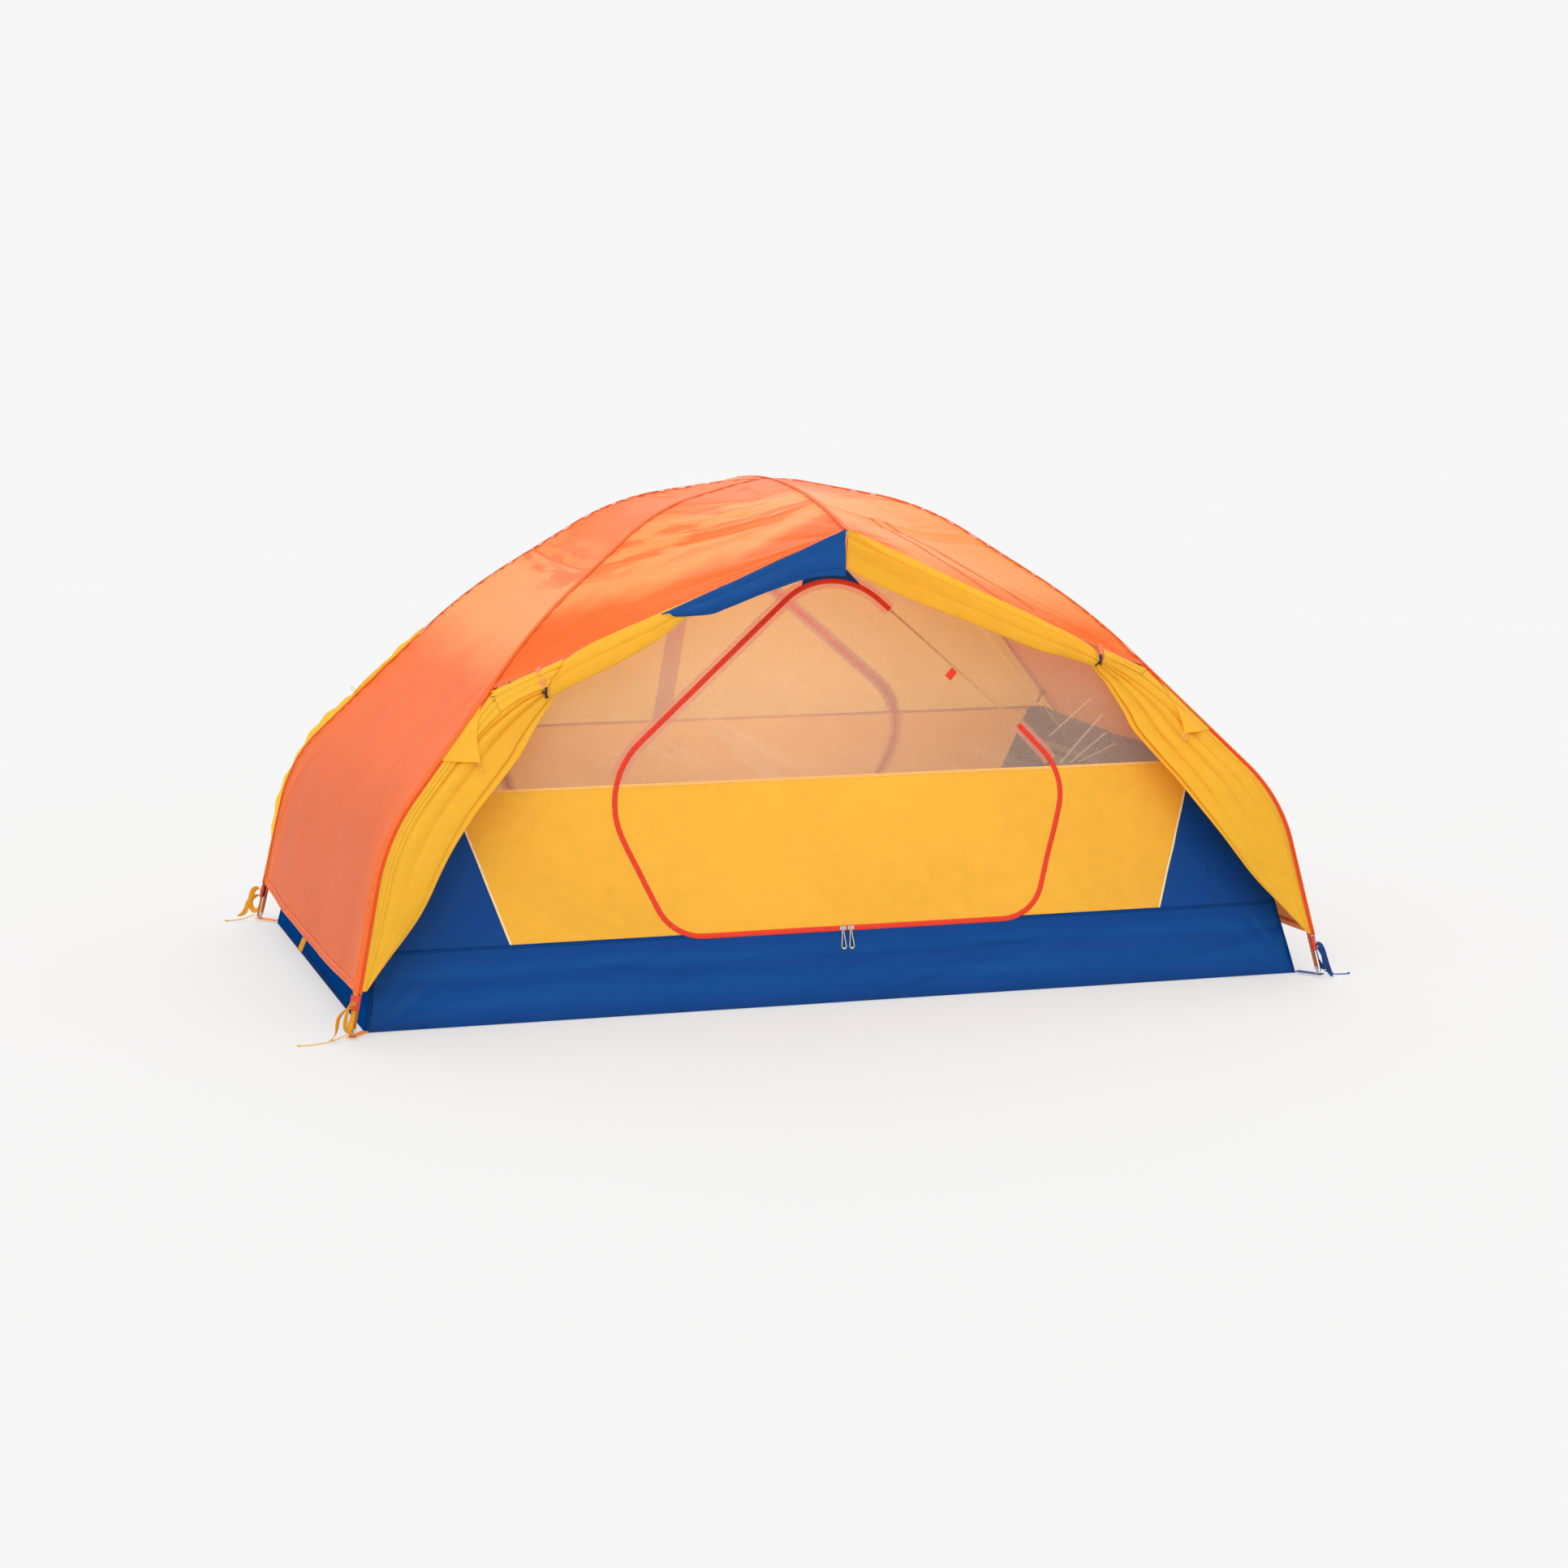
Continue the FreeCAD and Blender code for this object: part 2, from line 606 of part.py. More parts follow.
def roll_upper(side, stations):
    """Gathered cloth hanging just under the free edge, from the peak down to the toggle."""
    wires = []
    for part, tall, thick in stations:
        p = edge_point(side, part)
        wires.append(oval(p + V(0, 6, -tall / 2 - 7), V(0, 0, 1), V(0, 1, 0), tall / 2, thick / 2))
    return Part.makeLoft(wires, True, False)


def roll_lower(side, stations):
    """Gathered cloth fanned out between the toggle and the rib, down to the corner."""
    wires = []
    for z, inset, wide, thick in stations:
        r = at_z(FLY, z) - dim("fly_gap")
        x = side * (COS * r - inset - wide / 2)
        wires.append(oval(V(x, -SIN * r - 18, z), V(1, 0, 0), V(0, 1, 0), wide / 2, thick / 2))
    return Part.makeLoft(wires, True, False)


LEFT_UPPER = [(0.50, 48, 24), (0.60, 60, 30), (0.71, 64, 32), (0.78, 54, 30), (0.825, 42, 26)]
RIGHT_UPPER = [(0.03, 70, 14), (0.16, 84, 20), (0.39, 74, 26), (0.62, 64, 28), (0.72, 54, 28),
               (0.785, 40, 24)]
# Stations of the lower cloth: height, distance in from the rib, width, thickness.
LEFT_LOWER = [(738, 82, 44, 22), (712, 44, 84, 26), (665, 18, 122, 30), (600, 14, 148, 34),
              (450, 14, 138, 34), (290, 14, 102, 30), (175, 14, 50, 22), (118, 12, 20, 12)]
RIGHT_LOWER = [(764, 90, 44, 22), (728, 46, 92, 26), (665, 18, 142, 30), (600, 14, 178, 34),
               (450, 14, 190, 34), (290, 14, 126, 28), (175, 14, 58, 20), (118, 12, 20, 12)]
feature("roll_left", Part.Compound([roll_upper(-1, LEFT_UPPER), roll_lower(-1, LEFT_LOWER)]))
feature("roll_right", Part.Compound([roll_upper(1, RIGHT_UPPER), roll_lower(1, RIGHT_LOWER)]))

peak_wires = []
for part, tall, thick in ((0.015, 92, 12), (0.12, 84, 14), (0.25, 66, 14), (0.37, 44, 12),
                          (0.475, 22, 10)):
    p = edge_point(-1, part)
    peak_wires.append(oval(p + V(-3, 4, -tall / 2 - 6), V(0, 0, 1), V(0, 1, 0), tall / 2,
                           thick / 2))
feature("peak_flap", Part.makeLoft(peak_wires, True, False))

# Toggles: a short bar that turns in its elastic loop where each roll is tied.
loops = []
TIES = {"left": edge_point(-1, 0.845) + V(0, -26, -60),
        "right": edge_point(1, 0.82) + V(0, -28, -36)}
for tag, p in TIES.items():
    bar = doc.addObject("Part::Cylinder", "toggle_%s_bar" % tag)
    bind(bar, Radius="Dims.toggle_dia / 2", Height="Dims.toggle_length")
    bar.Placement = Plc(p + V(0, 0, -dim("toggle_length") / 2), Rot())
    keep(bar, "toggle_" + tag)
    ring = doc.addObject("Part::Torus", "toggle_%s_ring" % tag)
    ring.Radius1, ring.Radius2 = 9, 1.2
    ring.Placement = Plc(p + V(0, dim("toggle_dia") / 2 + 1.7, 0), Rot(V(1, 0, 0), 90))
    loops.append(ring)
group("toggle_loops", loops)

# ---------------------------------------------------------------- pole hardware
feature("pole_ferrules", Part.Compound(plugs_a + plugs_b))

tips = []
foot_run = V(FOOT - RIB[3][0], 0, -RIB[3][1]).normalize()
for sx in (-1, 1):
    for sy in (-1, 1):
        down = V(sx * COS * foot_run.x, sy * SIN * foot_run.x, foot_run.z)
        base = V(sx * dim("foot_x"), sy * dim("foot_y"), 0) - down * (dim("tip_length")
                                                                   / abs(down.z) - 0.2)
        nub = Part.makeCylinder(dim("tip_nub_dia") / 2, 20, base, down)
        collar = Part.makeCylinder(dim("pole_dia") / 2, 7, base, down)
        tips.append(nub.fuse(collar).removeSplitter())
for sy in (-1, 1):
    end = V(0, sy * dim("brow_reach"), brow_z(dim("brow_reach")))
    out = V(0, sy * math.sqrt(BROW_R ** 2 - dim("brow_reach") ** 2), -dim("brow_reach"))
    out.normalize()
    tips.append(Part.makeCone(dim("brow_dia") / 2, 2.5, 7, end + out * 0.1, out))
feature("pole_tips", Part.Compound(tips))

hub = doc.addObject("Part::Cylinder", "hub_disc")
bind(hub, Radius="Dims.hub_dia / 2", Height="Dims.hub_height")
hub.Placement = Plc(V(0, 0, APEX - dim("hub_height")), Rot())
grooves = []
for (dx, dy), z in ((DIR_A, APEX), (DIR_B, LOWER_APEX)):
    groove = doc.addObject("Part::Cylinder", "hub_groove_%d" % len(grooves))
    groove.setExpression("Radius", "Dims.pole_dia / 2 + 0.7")
    groove.Height = 80
    groove.Placement = Plc(V(-dx * 40, -dy * 40, z), Rot(V(0, 0, 1), V(dx, dy, 0)))
    grooves.append(groove)
first = doc.addObject("Part::Cut", "hub_cut_a")
first.Base, first.Tool = hub, grooves[0]
second = doc.addObject("Part::Cut", "hub_cut_b")
second.Base, second.Tool = first, grooves[1]
keep(second, "crossing_hub")

# Canopy clips: an open plastic hook round the pole and a strap down to the inner tent.
clips = []
rib = [(p.x, p.z) for p in RIB_POINTS]
for sx, sy in ((-1, -1), (1, -1), (-1, 1), (1, 1)):
    sunk = dim("crossing_step") if sx != sy else 0
    for r in (330, 600, 930, 1180):
        drop = sunk * max(0, 1 - r / RIB[1][0])
        run = V(sx * COS * 5, sy * SIN * 5, at_r(rib, r + 5) - at_r(rib, r)).normalize()
        mid = V(sx * COS * r, sy * SIN * r, at_r(rib, r) - drop)
        side = run.cross(V(0, 0, 1)).normalize()
        under = run.cross(side).normalize()
        under = under if under.z < 0 else under * -1
        tall, wall = dim("clip_height"), dim("clip_wall")
        bore = dim("pole_dia") / 2 + 0.4
        hook = Part.makeCylinder(bore + wall, tall, mid - run * (tall / 2), run)
        hook = hook.cut(Part.makeCylinder(bore, tall + 2, mid - run * (tall / 2 + 1), run))
        mouth = Part.makeBox(5, 30, tall + 2)
        mouth.Placement = Plc(mid - run * (tall / 2 + 1) - side * 2.5,
                              Rot(side, under * -1, run, "ZXY"))
        stem = Part.makeBox(6, dim("inner_gap") - bore - wall - 3, 2.4)
        stem.Placement = Plc(mid + under * (bore + wall - 0.6) - side * 3 - run * 1.2,
                             Rot(side, under, run, "ZXY"))
        clips.append(hook.cut(mouth).fuse(stem).removeSplitter())
feature("canopy_clips", Part.Compound(clips))

# ---------------------------------------------------------------- corners
straps, tabs, grommets = [], [], []
corner_no = 0
for sx, sy in ((-1, -1), (1, -1), (-1, 1), (1, 1)):
    corner_no += 1
    out = V(sx * COS, sy * SIN, 0)
    across = V(-sy * SIN, sx * COS, 0) * (sx * sy)
    run = V(out.x * foot_run.x, out.y * foot_run.x, foot_run.z) * -1
    face = run.cross(across).normalize()
    face = face if face.dot(out) > 0 else face * -1
    foot = V(sx * dim("foot_x"), sy * dim("foot_y"), 0)
    turn = Rot(across, run, across.cross(run), "ZXY")
    # Strap up the outside of the pole foot, from the grommet tab to the fly corner.
    strap = Part.makeBox(dim("webbing_width") * 0.6, 84, dim("webbing_thick"))
    strap.Placement = Plc(foot + run * 20 + face * 9 - across * dim("webbing_width") * 0.3, turn)
    straps.append(strap)
    # Adjusting buckle that rides on the strap.
    block = doc.addObject("Part::Box", "buckle_block_%d" % corner_no)
    bind(block, Length="Dims.buckle_width", Width="Dims.buckle_length",
         Height="Dims.buckle_thick")
    slot = doc.addObject("Part::Box", "buckle_slot_%d" % corner_no)
    slot.Length, slot.Width, slot.Height = (dim("webbing_width") * 0.6 + 1.2,
                                            dim("buckle_length") + 4, dim("webbing_thick") + 1.0)
    slot.Placement = Plc(V((dim("buckle_width") - slot.Length.Value) / 2, -2,
                           (dim("buckle_thick") - slot.Height.Value) / 2), Rot())
    frame = doc.addObject("Part::Cut", "buckle_cut_%d" % corner_no)
    frame.Base, frame.Tool = block, slot
    depth = (dim("buckle_thick") - dim("webbing_thick")) / 2
    normal = across.cross(run)
    lift = 9 + dim("webbing_thick") / 2 if normal.dot(face) > 0 else 9 - dim("webbing_thick") / 2
    frame.Placement = Plc(foot + run * 66 + face * lift - normal * dim("buckle_thick") / 2
                          - across * dim("buckle_width") / 2, turn)
    keep(frame, "corner_buckle_%d" % corner_no)
    # Grommet tab from the floor corner out to the pole tip.
    floor_corner = V(sx * (HALF_L - 2), sy * (HALF_W - 2), 0)
    reach = foot - floor_corner
    way = V(reach).normalize()
    flat = V(-way.y, way.x, 0)
    length = reach.Length + 11
    tab = Part.makeBox(length - 6, dim("webbing_width"), dim("webbing_thick"))
    tab.Placement = Plc(floor_corner + way * 6 - flat * dim("webbing_width") / 2 + V(0, 0, 5),
                        Rot(way, flat, V(0, 0, 1), "ZXY"))
    eye = foot + out * (-foot_run.x / abs(foot_run.z) * 6)
    tab = tab.cut(Part.makeCylinder(dim("grommet_dia") / 2 + 0.2, 10, eye + V(0, 0, 0)))
    tabs.append(tab.Solids[0])
    ring = Part.makeCylinder(dim("grommet_dia") / 2, 3.2, eye + V(0, 0, 4.2))
    grommets.append(ring.cut(Part.makeCylinder(dim("grommet_bore") / 2, 6, eye + V(0, 0, 3))))
feature("corner_straps", Part.Compound(straps))
feature("grommet_tabs", Part.Compound(tabs))
feature("grommets", Part.Compound(grommets))

# Stake cords: one short loose cord lying out from each corner.
CORDS = {
    1: [(-1221, -762, 16), (-1243, -770, 6), (-1274, -775, 1.6), (-1306, -789, 1.6),
        (-1337, -791, 1.6)],
    2: [(1220, -758, 16), (1238, -757, 6), (1262, -751, 1.6), (1291, -752, 1.6)],
    3: [(-1221, 760, 16), (-1242, 764, 6), (-1270, 766, 1.6), (-1300, 758, 1.6)],
    4: [(1221, 760, 16), (1243, 766, 6), (1272, 772, 1.6), (1304, 768, 1.6)],
}
for number, route in CORDS.items():
    pts = [V(*p) for p in route]
    runs = [(b - a).Length for a, b in zip(pts, pts[1:])]
    shares = [0.45 * min(a, b) for a, b in zip(runs, runs[1:])]
    solid, length, radii = tube(pts, shares, dim("stake_cord_dia"))
    print("stake cord", number, "length %.1f" % length, "radii", ["%.1f" % q for q in radii],
          "volume ratio %.3f" % (solid.Volume / (math.pi * length * dim("stake_cord_dia") ** 2
                                                 / 4)))
    feature("stake_cord_%d" % number, solid)

# ---------------------------------------------------------------- small sewn-on pieces
small = []
for sx in (-1, 1):
    small.append(Part.makeTorus(7, 1.1, V(sx * 875, -648, 600), V(0, 1, 0)))
    r = 1128
    spot = V(sx * COS * r, SIN * r, at_r(FLY, r))
    out = V(sx * COS * 0.62, SIN * 0.62, 0.78).normalize()
    small.append(Part.makeTorus(6, 1.1, spot + out * 8.5, V(-SIN, sx * COS, 0)))
for side in (-1, 1):
    x = side * (COS * HEM_R + 1)
    small.append(Part.makeTorus(8, 1.2, V(x + side * 9, 0, dim("hem_height") - 14), V(0, 1, 0)))
feature("guy_loops", Part.Compound(small))

# Tie-back tab sewn beside each hinge seam, lying over the door leaf and square to the seam.
for tag, place in (("front", FRONT), ("rear", REAR)):
    tab = doc.addObject("Part::Box", "tie_tab_%s_box" % tag)
    tab.Length, tab.Width, tab.Height = 18, 27.6, 1.4
    tab.Placement = place * Plc(V(337.1, 787.4, FABRIC + 0.3), Rot(V(0, 0, 1), 136.46))
    keep(tab, "tie_tab_" + tag)

# ---------------------------------------------------------------- checks and files
doc.recompute()
for obj in doc.Objects:
    if "Invalid" in obj.State or "Error" in obj.State:
        raise RuntimeError("failed feature: %s %s" % (obj.Name, obj.State))
labels = [n.Label for n in NODES]
if len(set(labels)) != len(labels):
    raise RuntimeError("repeated label")
for node in NODES:
    if node.Shape.isNull() or not node.Shape.isValid():
        raise RuntimeError("bad shape: " + node.Label)
for node in NODES:
    node.Shape.exportStep("parts/%s.step" % node.Label)
print(len(NODES), "nodes,", sum(len(n.Shape.Solids) for n in NODES), "solids")
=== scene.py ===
import math
import bpy
import numpy as np
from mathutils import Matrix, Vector


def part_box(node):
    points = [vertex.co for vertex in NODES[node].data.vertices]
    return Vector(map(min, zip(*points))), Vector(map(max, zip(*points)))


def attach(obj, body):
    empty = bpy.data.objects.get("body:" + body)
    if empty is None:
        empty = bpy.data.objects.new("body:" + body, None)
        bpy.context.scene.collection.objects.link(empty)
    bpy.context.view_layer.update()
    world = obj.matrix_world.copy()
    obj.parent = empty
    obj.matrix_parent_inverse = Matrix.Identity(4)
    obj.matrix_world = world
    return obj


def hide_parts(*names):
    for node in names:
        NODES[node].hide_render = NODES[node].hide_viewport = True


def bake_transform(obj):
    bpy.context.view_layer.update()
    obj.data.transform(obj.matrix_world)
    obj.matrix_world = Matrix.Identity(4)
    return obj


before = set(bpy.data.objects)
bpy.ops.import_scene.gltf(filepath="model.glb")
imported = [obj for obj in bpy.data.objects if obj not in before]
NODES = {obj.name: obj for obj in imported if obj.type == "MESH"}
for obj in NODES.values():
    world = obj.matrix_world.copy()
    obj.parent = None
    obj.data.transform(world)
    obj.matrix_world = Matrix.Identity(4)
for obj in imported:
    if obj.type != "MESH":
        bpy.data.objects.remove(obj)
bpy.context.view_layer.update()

SCENE = bpy.context.scene
SCENE.view_settings.view_transform = "Standard"

# ------------------------------------------------------------------ camera, as in the photo
AZ, EL, DIST = math.radians(16.87), math.radians(8.51), 7.859
TARGET = Vector((-0.140, -0.615, 0.5223))
back = Vector((-math.sin(AZ) * math.cos(EL), -math.cos(AZ) * math.cos(EL), math.sin(EL)))
cam_data = bpy.data.cameras.new("camera")
cam_data.sensor_width = 36.0
cam_data.lens = 4058 / 1932 * 36.0
cam_data.clip_end = 200
camera = bpy.data.objects.new("camera", cam_data)
SCENE.collection.objects.link(camera)
camera.location = TARGET + back * DIST
camera.rotation_euler = (-back).to_track_quat("-Z", "Y").to_euler()
SCENE.camera = camera

# ------------------------------------------------------------------ frame curves, metres
FOOT_X, FOOT_Y = 1.209, 0.750
FOOT = math.hypot(FOOT_X, FOOT_Y)
COS, SIN = FOOT_X / FOOT, FOOT_Y / FOOT
HALF_L, HALF_W = 1.170, 0.700
HEM_Z, TUB_Z, FLOOR_Z = 0.105, 0.172, 0.0012
# Edges of the cloth just below and just above the seam between solid panel and mesh.
PANEL_Z, MESH_Z, MESH_TOP, EAVE_Z = 0.527, 0.529, 1.018, 0.780
REAR_FOOT = np.array([0, 1.330, 0.060])
LEAN = math.radians(14.68)
TAN, SLOPE = math.tan(LEAN), math.cos(LEAN)
RIB = [(0, 1.211), (0.400, 1.146), (0.820, 0.893), (1.310, 0.440), (FOOT, 0)]
RIB_CUTS = [0.150, 0.130, 0.150, 0.110]


def rounded(points, cuts, closed=False, per=10):
    """Polyline of a path whose corners are tangent arcs."""
    pts = [np.array(p, float) for p in points]
    n, out = len(pts), []
    for i in range(n):
        cut = cuts[i]
        if not closed and i in (0, n - 1) or cut == 0:
            out.append(pts[i])
            continue
        a, b, c = pts[i - 1], pts[i], pts[(i + 1) % n]
        u, w = (a - b) / np.linalg.norm(a - b), (c - b) / np.linalg.norm(c - b)
        half = math.acos(max(-1, min(1, float(u @ w)))) / 2
        radius = cut * math.tan(half)
        bis = (u + w) / np.linalg.norm(u + w)
        centre = b + bis * math.hypot(radius, cut)
        s, e = b + u * cut - centre, b + w * cut - centre
        turn = math.pi - 2 * half
        for k in range(per + 1):
            t = k / per
            out.append(centre + (s * math.sin((1 - t) * turn) + e * math.sin(t * turn))
                       / math.sin(turn))
    return np.array(out)


def resample(path, n):
    """n points evenly spaced along a polyline."""
    path = np.asarray(path, float)
    d = np.r_[0, np.cumsum(np.linalg.norm(np.diff(path, axis=0), axis=1))]
    t = np.linspace(0, d[-1], n)
    return np.stack([np.interp(t, d, path[:, k]) for k in range(path.shape[1])], 1)


whole = [(-r, z) for r, z in RIB[::-1]] + RIB[1:]
whole = resample(rounded(whole, [0] + RIB_CUTS[:0:-1] + RIB_CUTS + [0], per=24), 961)
RIB_LINE = whole[whole[:, 0] >= -1e-9]


def rib_offset(offset):
    p = RIB_LINE
    run = np.gradient(p, axis=0)
    run /= np.linalg.norm(run, axis=1)[:, None]
    run[0] = (1, 0)
    return np.stack([p[:, 0] - run[:, 1] * offset, p[:, 1] + run[:, 0] * offset], 1)


FLY, INNER = rib_offset(0.013), rib_offset(-0.040)


def at_r(curve, r):
    return np.interp(r, curve[:, 0], curve[:, 1])


def on_ribs(side, face, r, z):
    """Points above the diagonal that a fly rib follows, r from the crown."""
    return np.stack([side * COS * r, face * SIN * r, z], -1)


def at_z(curve, z):
    return np.interp(-np.asarray(z), -curve[:, 1], curve[:, 0])


INNER_FOOT = float(at_z(INNER, 0))
IN_COS, IN_SIN = HALF_L / INNER_FOOT, HALF_W / INNER_FOOT
HEM_R = float(at_z(FLY, HEM_Z))
ROOF_END, RIDGE_END = 0.985, 0.663
BROW_HALF, BROW_RISE, START_R = 0.655, 0.085, 0.004
BROW_R = (BROW_HALF ** 2 + BROW_RISE ** 2) / (2 * BROW_RISE)
BROW_TOP = RIB_LINE[0, 1] + 0.0045 + 0.0005 + 0.00425


def fly_ridge(y):
    y = np.minimum(np.abs(y), BROW_HALF)
    return BROW_TOP - BROW_R + np.sqrt(BROW_R ** 2 - y * y) + 0.00775


REAR_TOP = np.array([0, RIDGE_END + 0.002, fly_ridge(RIDGE_END) - 0.001])
BOTH = (("front", -1), ("rear", 1))
HANDS = (("left", -1), ("right", 1))
CORNERS = [(side, face) for side in (-1, 1) for face in (-1, 1)]


def wall_y(z):
    return HALF_W - z * TAN


def wall_x(z):
    return IN_COS * at_z(INNER, z) - 0.004


# ------------------------------------------------------------------ materials
def srgb(r, g, b):
    def lin(c):
        c /= 255
        return c / 12.92 if c <= 0.04045 else ((c + 0.055) / 1.055) ** 2.4
    return (lin(r), lin(g), lin(b), 1)


def grey(v):
    return (v, v, v, 1)


def shade(c, k):
    return (min(1, c[0] * k), min(1, c[1] * k), min(1, c[2] * k), 1)


class Mat:
    """A node tree with short helpers."""

    def __init__(self, name):
        self.m = bpy.data.materials.new(name)
        self.m.use_nodes = True
        self.t = self.m.node_tree
        self.t.nodes.clear()
        self.out = self.n("OutputMaterial")
        self.bsdf = self.n("BsdfPrincipled")

    def n(self, kind, **props):
        node = self.t.nodes.new("ShaderNode" + kind)
        for key, value in props.items():
            setattr(node, key, value)
        return node

    def put(self, value, socket):
        """Link a socket, or set a constant."""
        if isinstance(value, bpy.types.NodeSocket):
            self.t.links.new(value, socket)
        else:
            socket.default_value = value

    def set(self, node, **values):
        for key, value in values.items():
            self.put(value, node.inputs[key.replace("_", " ")])
        return node

    def math(self, op, a, b=0.0):
        node = self.n("Math", operation=op)
        self.put(a, node.inputs[0])
        self.put(b, node.inputs[1])
        return node.outputs[0]

    def mul(self, a, b):
        return self.math("MULTIPLY", a, b)

    def add(self, a, b):
        return self.math("ADD", a, b)

    def mix(self, fac, a, b, kind="MixRGB", **props):
        node = self.n(kind, **props)
        for value, socket in zip((fac, a, b), node.inputs):
            self.put(value, socket)
        return node.outputs[0]

    def ramp(self, fac, stops):
        node = self.n("ValToRGB")
        el = node.color_ramp.elements
        while len(el) < len(stops):
            el.new(0.5)
        for e, (pos, col) in zip(el, stops):
            e.position, e.color = pos, col
        self.put(fac, node.inputs["Fac"])
        return node.outputs["Color"]

    def mottle(self, fac, colour, dark, light):
        """Base colour that varies a little with fac."""
        self.set(self.bsdf, Base_Color=self.ramp(fac, [(0.3, shade(colour, dark)),
                                                       (0.7, shade(colour, light))]))

    def noise(self, vector, scale, detail=3.0, rough=0.5):
        node = self.n("TexNoise")
        self.set(node, Vector=vector, Scale=scale, Detail=detail, Roughness=rough)
        return node.outputs["Fac"]

    def placed(self, uv, turn, scale, **props):
        """Cloth coordinates turned and scaled."""
        node = self.n("Mapping", **props)
        self.set(node, Vector=uv, Rotation=(0, 0, math.radians(turn)), Scale=scale)
        return node.outputs[0]

    def bump(self, height, strength, distance):
        node = self.set(self.n("Bump"), Height=height, Strength=strength, Distance=distance)
        return node.outputs["Normal"]

    def coords(self):
        """Cloth coordinates in metres, whole and as x across and y along the piece."""
        uv = self.n("TexCoord").outputs["UV"]
        sep = self.n("SeparateXYZ")
        self.put(uv, sep.inputs[0])
        return uv, sep.outputs["X"], sep.outputs["Y"]

    def glow(self, colour, **values):
        return self.set(self.n("BsdfTranslucent"), Color=colour, **values).outputs[0]

    def finish(self, share=0.0, glow=None):
        """Close the material; a share of the light goes through it as glow."""
        shader = self.bsdf.outputs[0]
        if share:
            shader = self.mix(share, shader, glow, "MixShader")
        self.put(shader, self.out.inputs["Surface"])
        return self.m


def cloth(name, colour, through=None, share=0.0, rough=0.5, sheen=0.01, painted_light_bands=None, spec=0.14,
          painted_shade_patches=None, drift=0.09):
    """Coated woven cloth: ripstop grid, fine weave, crumple, and light coming through.

    The bands of tone, a list of (distance along the sheet in metres, colour), are painted light and
    shade; the patches (colour, from, to) give the stretch where sharp-edged creased patches take
    that colour as painted shade."""
    k = Mat(name)
    uv, x, y = k.coords()
    tone = k.add(k.mul(k.noise(uv, 3.2, 3), 0.6), k.mul(k.noise(uv, 26, 4, 0.6), 0.4))
    shades = k.ramp(tone, [(0.36, grey(0.93)), (0.5, grey(1)), (0.66, grey(1.04))])
    stray = k.mul(k.math("SUBTRACT", k.noise(uv, 5.0, 4, 0.55), 0.5), drift)
    # Bands of colour along the sheet: painted light and shade.
    stops = [(d / 2, c) for d, c in painted_light_bands] if painted_light_bands else [(0, colour), (1, colour)]
    ground = k.ramp(k.add(k.mul(y, 0.5), stray), stops)
    # Sharp-edged creased patches of deeper colour: painted shade.
    if painted_shade_patches:
        hue, start, end = painted_shade_patches
        spot = k.placed(uv, 24, (3.0, 15, 1))
        cutout = k.ramp(k.noise(spot, 1.0, 4, 0.62), [(0.495, grey(0)), (0.545, grey(1))])
        span = k.ramp(y, [(max(0, start - 0.06), grey(0)), (start, grey(0.85)),
                          (end - 0.08, grey(0.85)), (end, grey(0))])
        ground = k.mix(k.mul(cutout, span), ground, hue)
    lines = None
    for axis in (x, y):
        saw = k.math("PINGPONG", k.math("DIVIDE", axis, RIPSTOP), 0.5)
        edge = k.math("LESS_THAN", saw, 0.06)
        lines = edge if lines is None else k.math("MAXIMUM", lines, edge)
    weave = k.mul(k.math("SINE", k.mul(x, 7000)), k.math("SINE", k.mul(y, 7000)))
    relief = k.add(k.mul(weave, 0.02), k.mul(k.noise(uv, 9, 5, 0.62), 1.6))
    normal = k.bump(k.add(k.mul(lines, 0.05), relief), 0.3, 0.004)
    k.set(k.bsdf, Base_Color=k.mix(1, ground, shades, blend_type="MULTIPLY"), Roughness=rough,
          Sheen_Weight=sheen, Sheen_Roughness=0.4, Specular_IOR_Level=spec, Normal=normal)
    return k.finish(share, share and k.glow(through or colour, Normal=normal))


def stitched(name, colour, thread, rows=(0.0,), share=0.0, through=None, pitch=0.0045, rough=0.55):
    """Sewn tape: cloth with rows of stitches along it, rows given in metres from its middle."""
    k = Mat(name)
    uv, x, y = k.coords()
    dash = k.math("GREATER_THAN", k.math("PINGPONG", k.math("DIVIDE", y, pitch), 0.5), 0.16)
    line = None
    for row in rows:
        near = k.math("LESS_THAN", k.math("ABSOLUTE", k.math("SUBTRACT", x, row)), 0.0006)
        line = near if line is None else k.math("MAXIMUM", line, near)
    pucker = k.math("SINE", k.add(k.mul(y, 520), k.mul(k.noise(uv, 40, 2), 9)))
    base = k.ramp(k.noise(uv, 60, 3, 0.6), [(0.3, shade(colour, 0.88)), (0.7, shade(colour, 1.08))])
    relief = k.add(k.mul(pucker, 0.4), k.mul(line, -1.0))
    k.set(k.bsdf, Base_Color=k.mix(k.mul(dash, line), base, thread), Roughness=rough,
          Specular_IOR_Level=0.08, Sheen_Weight=0.02, Normal=k.bump(relief, 0.35, 0.0012))
    return k.finish(share, share and k.glow(through or colour))


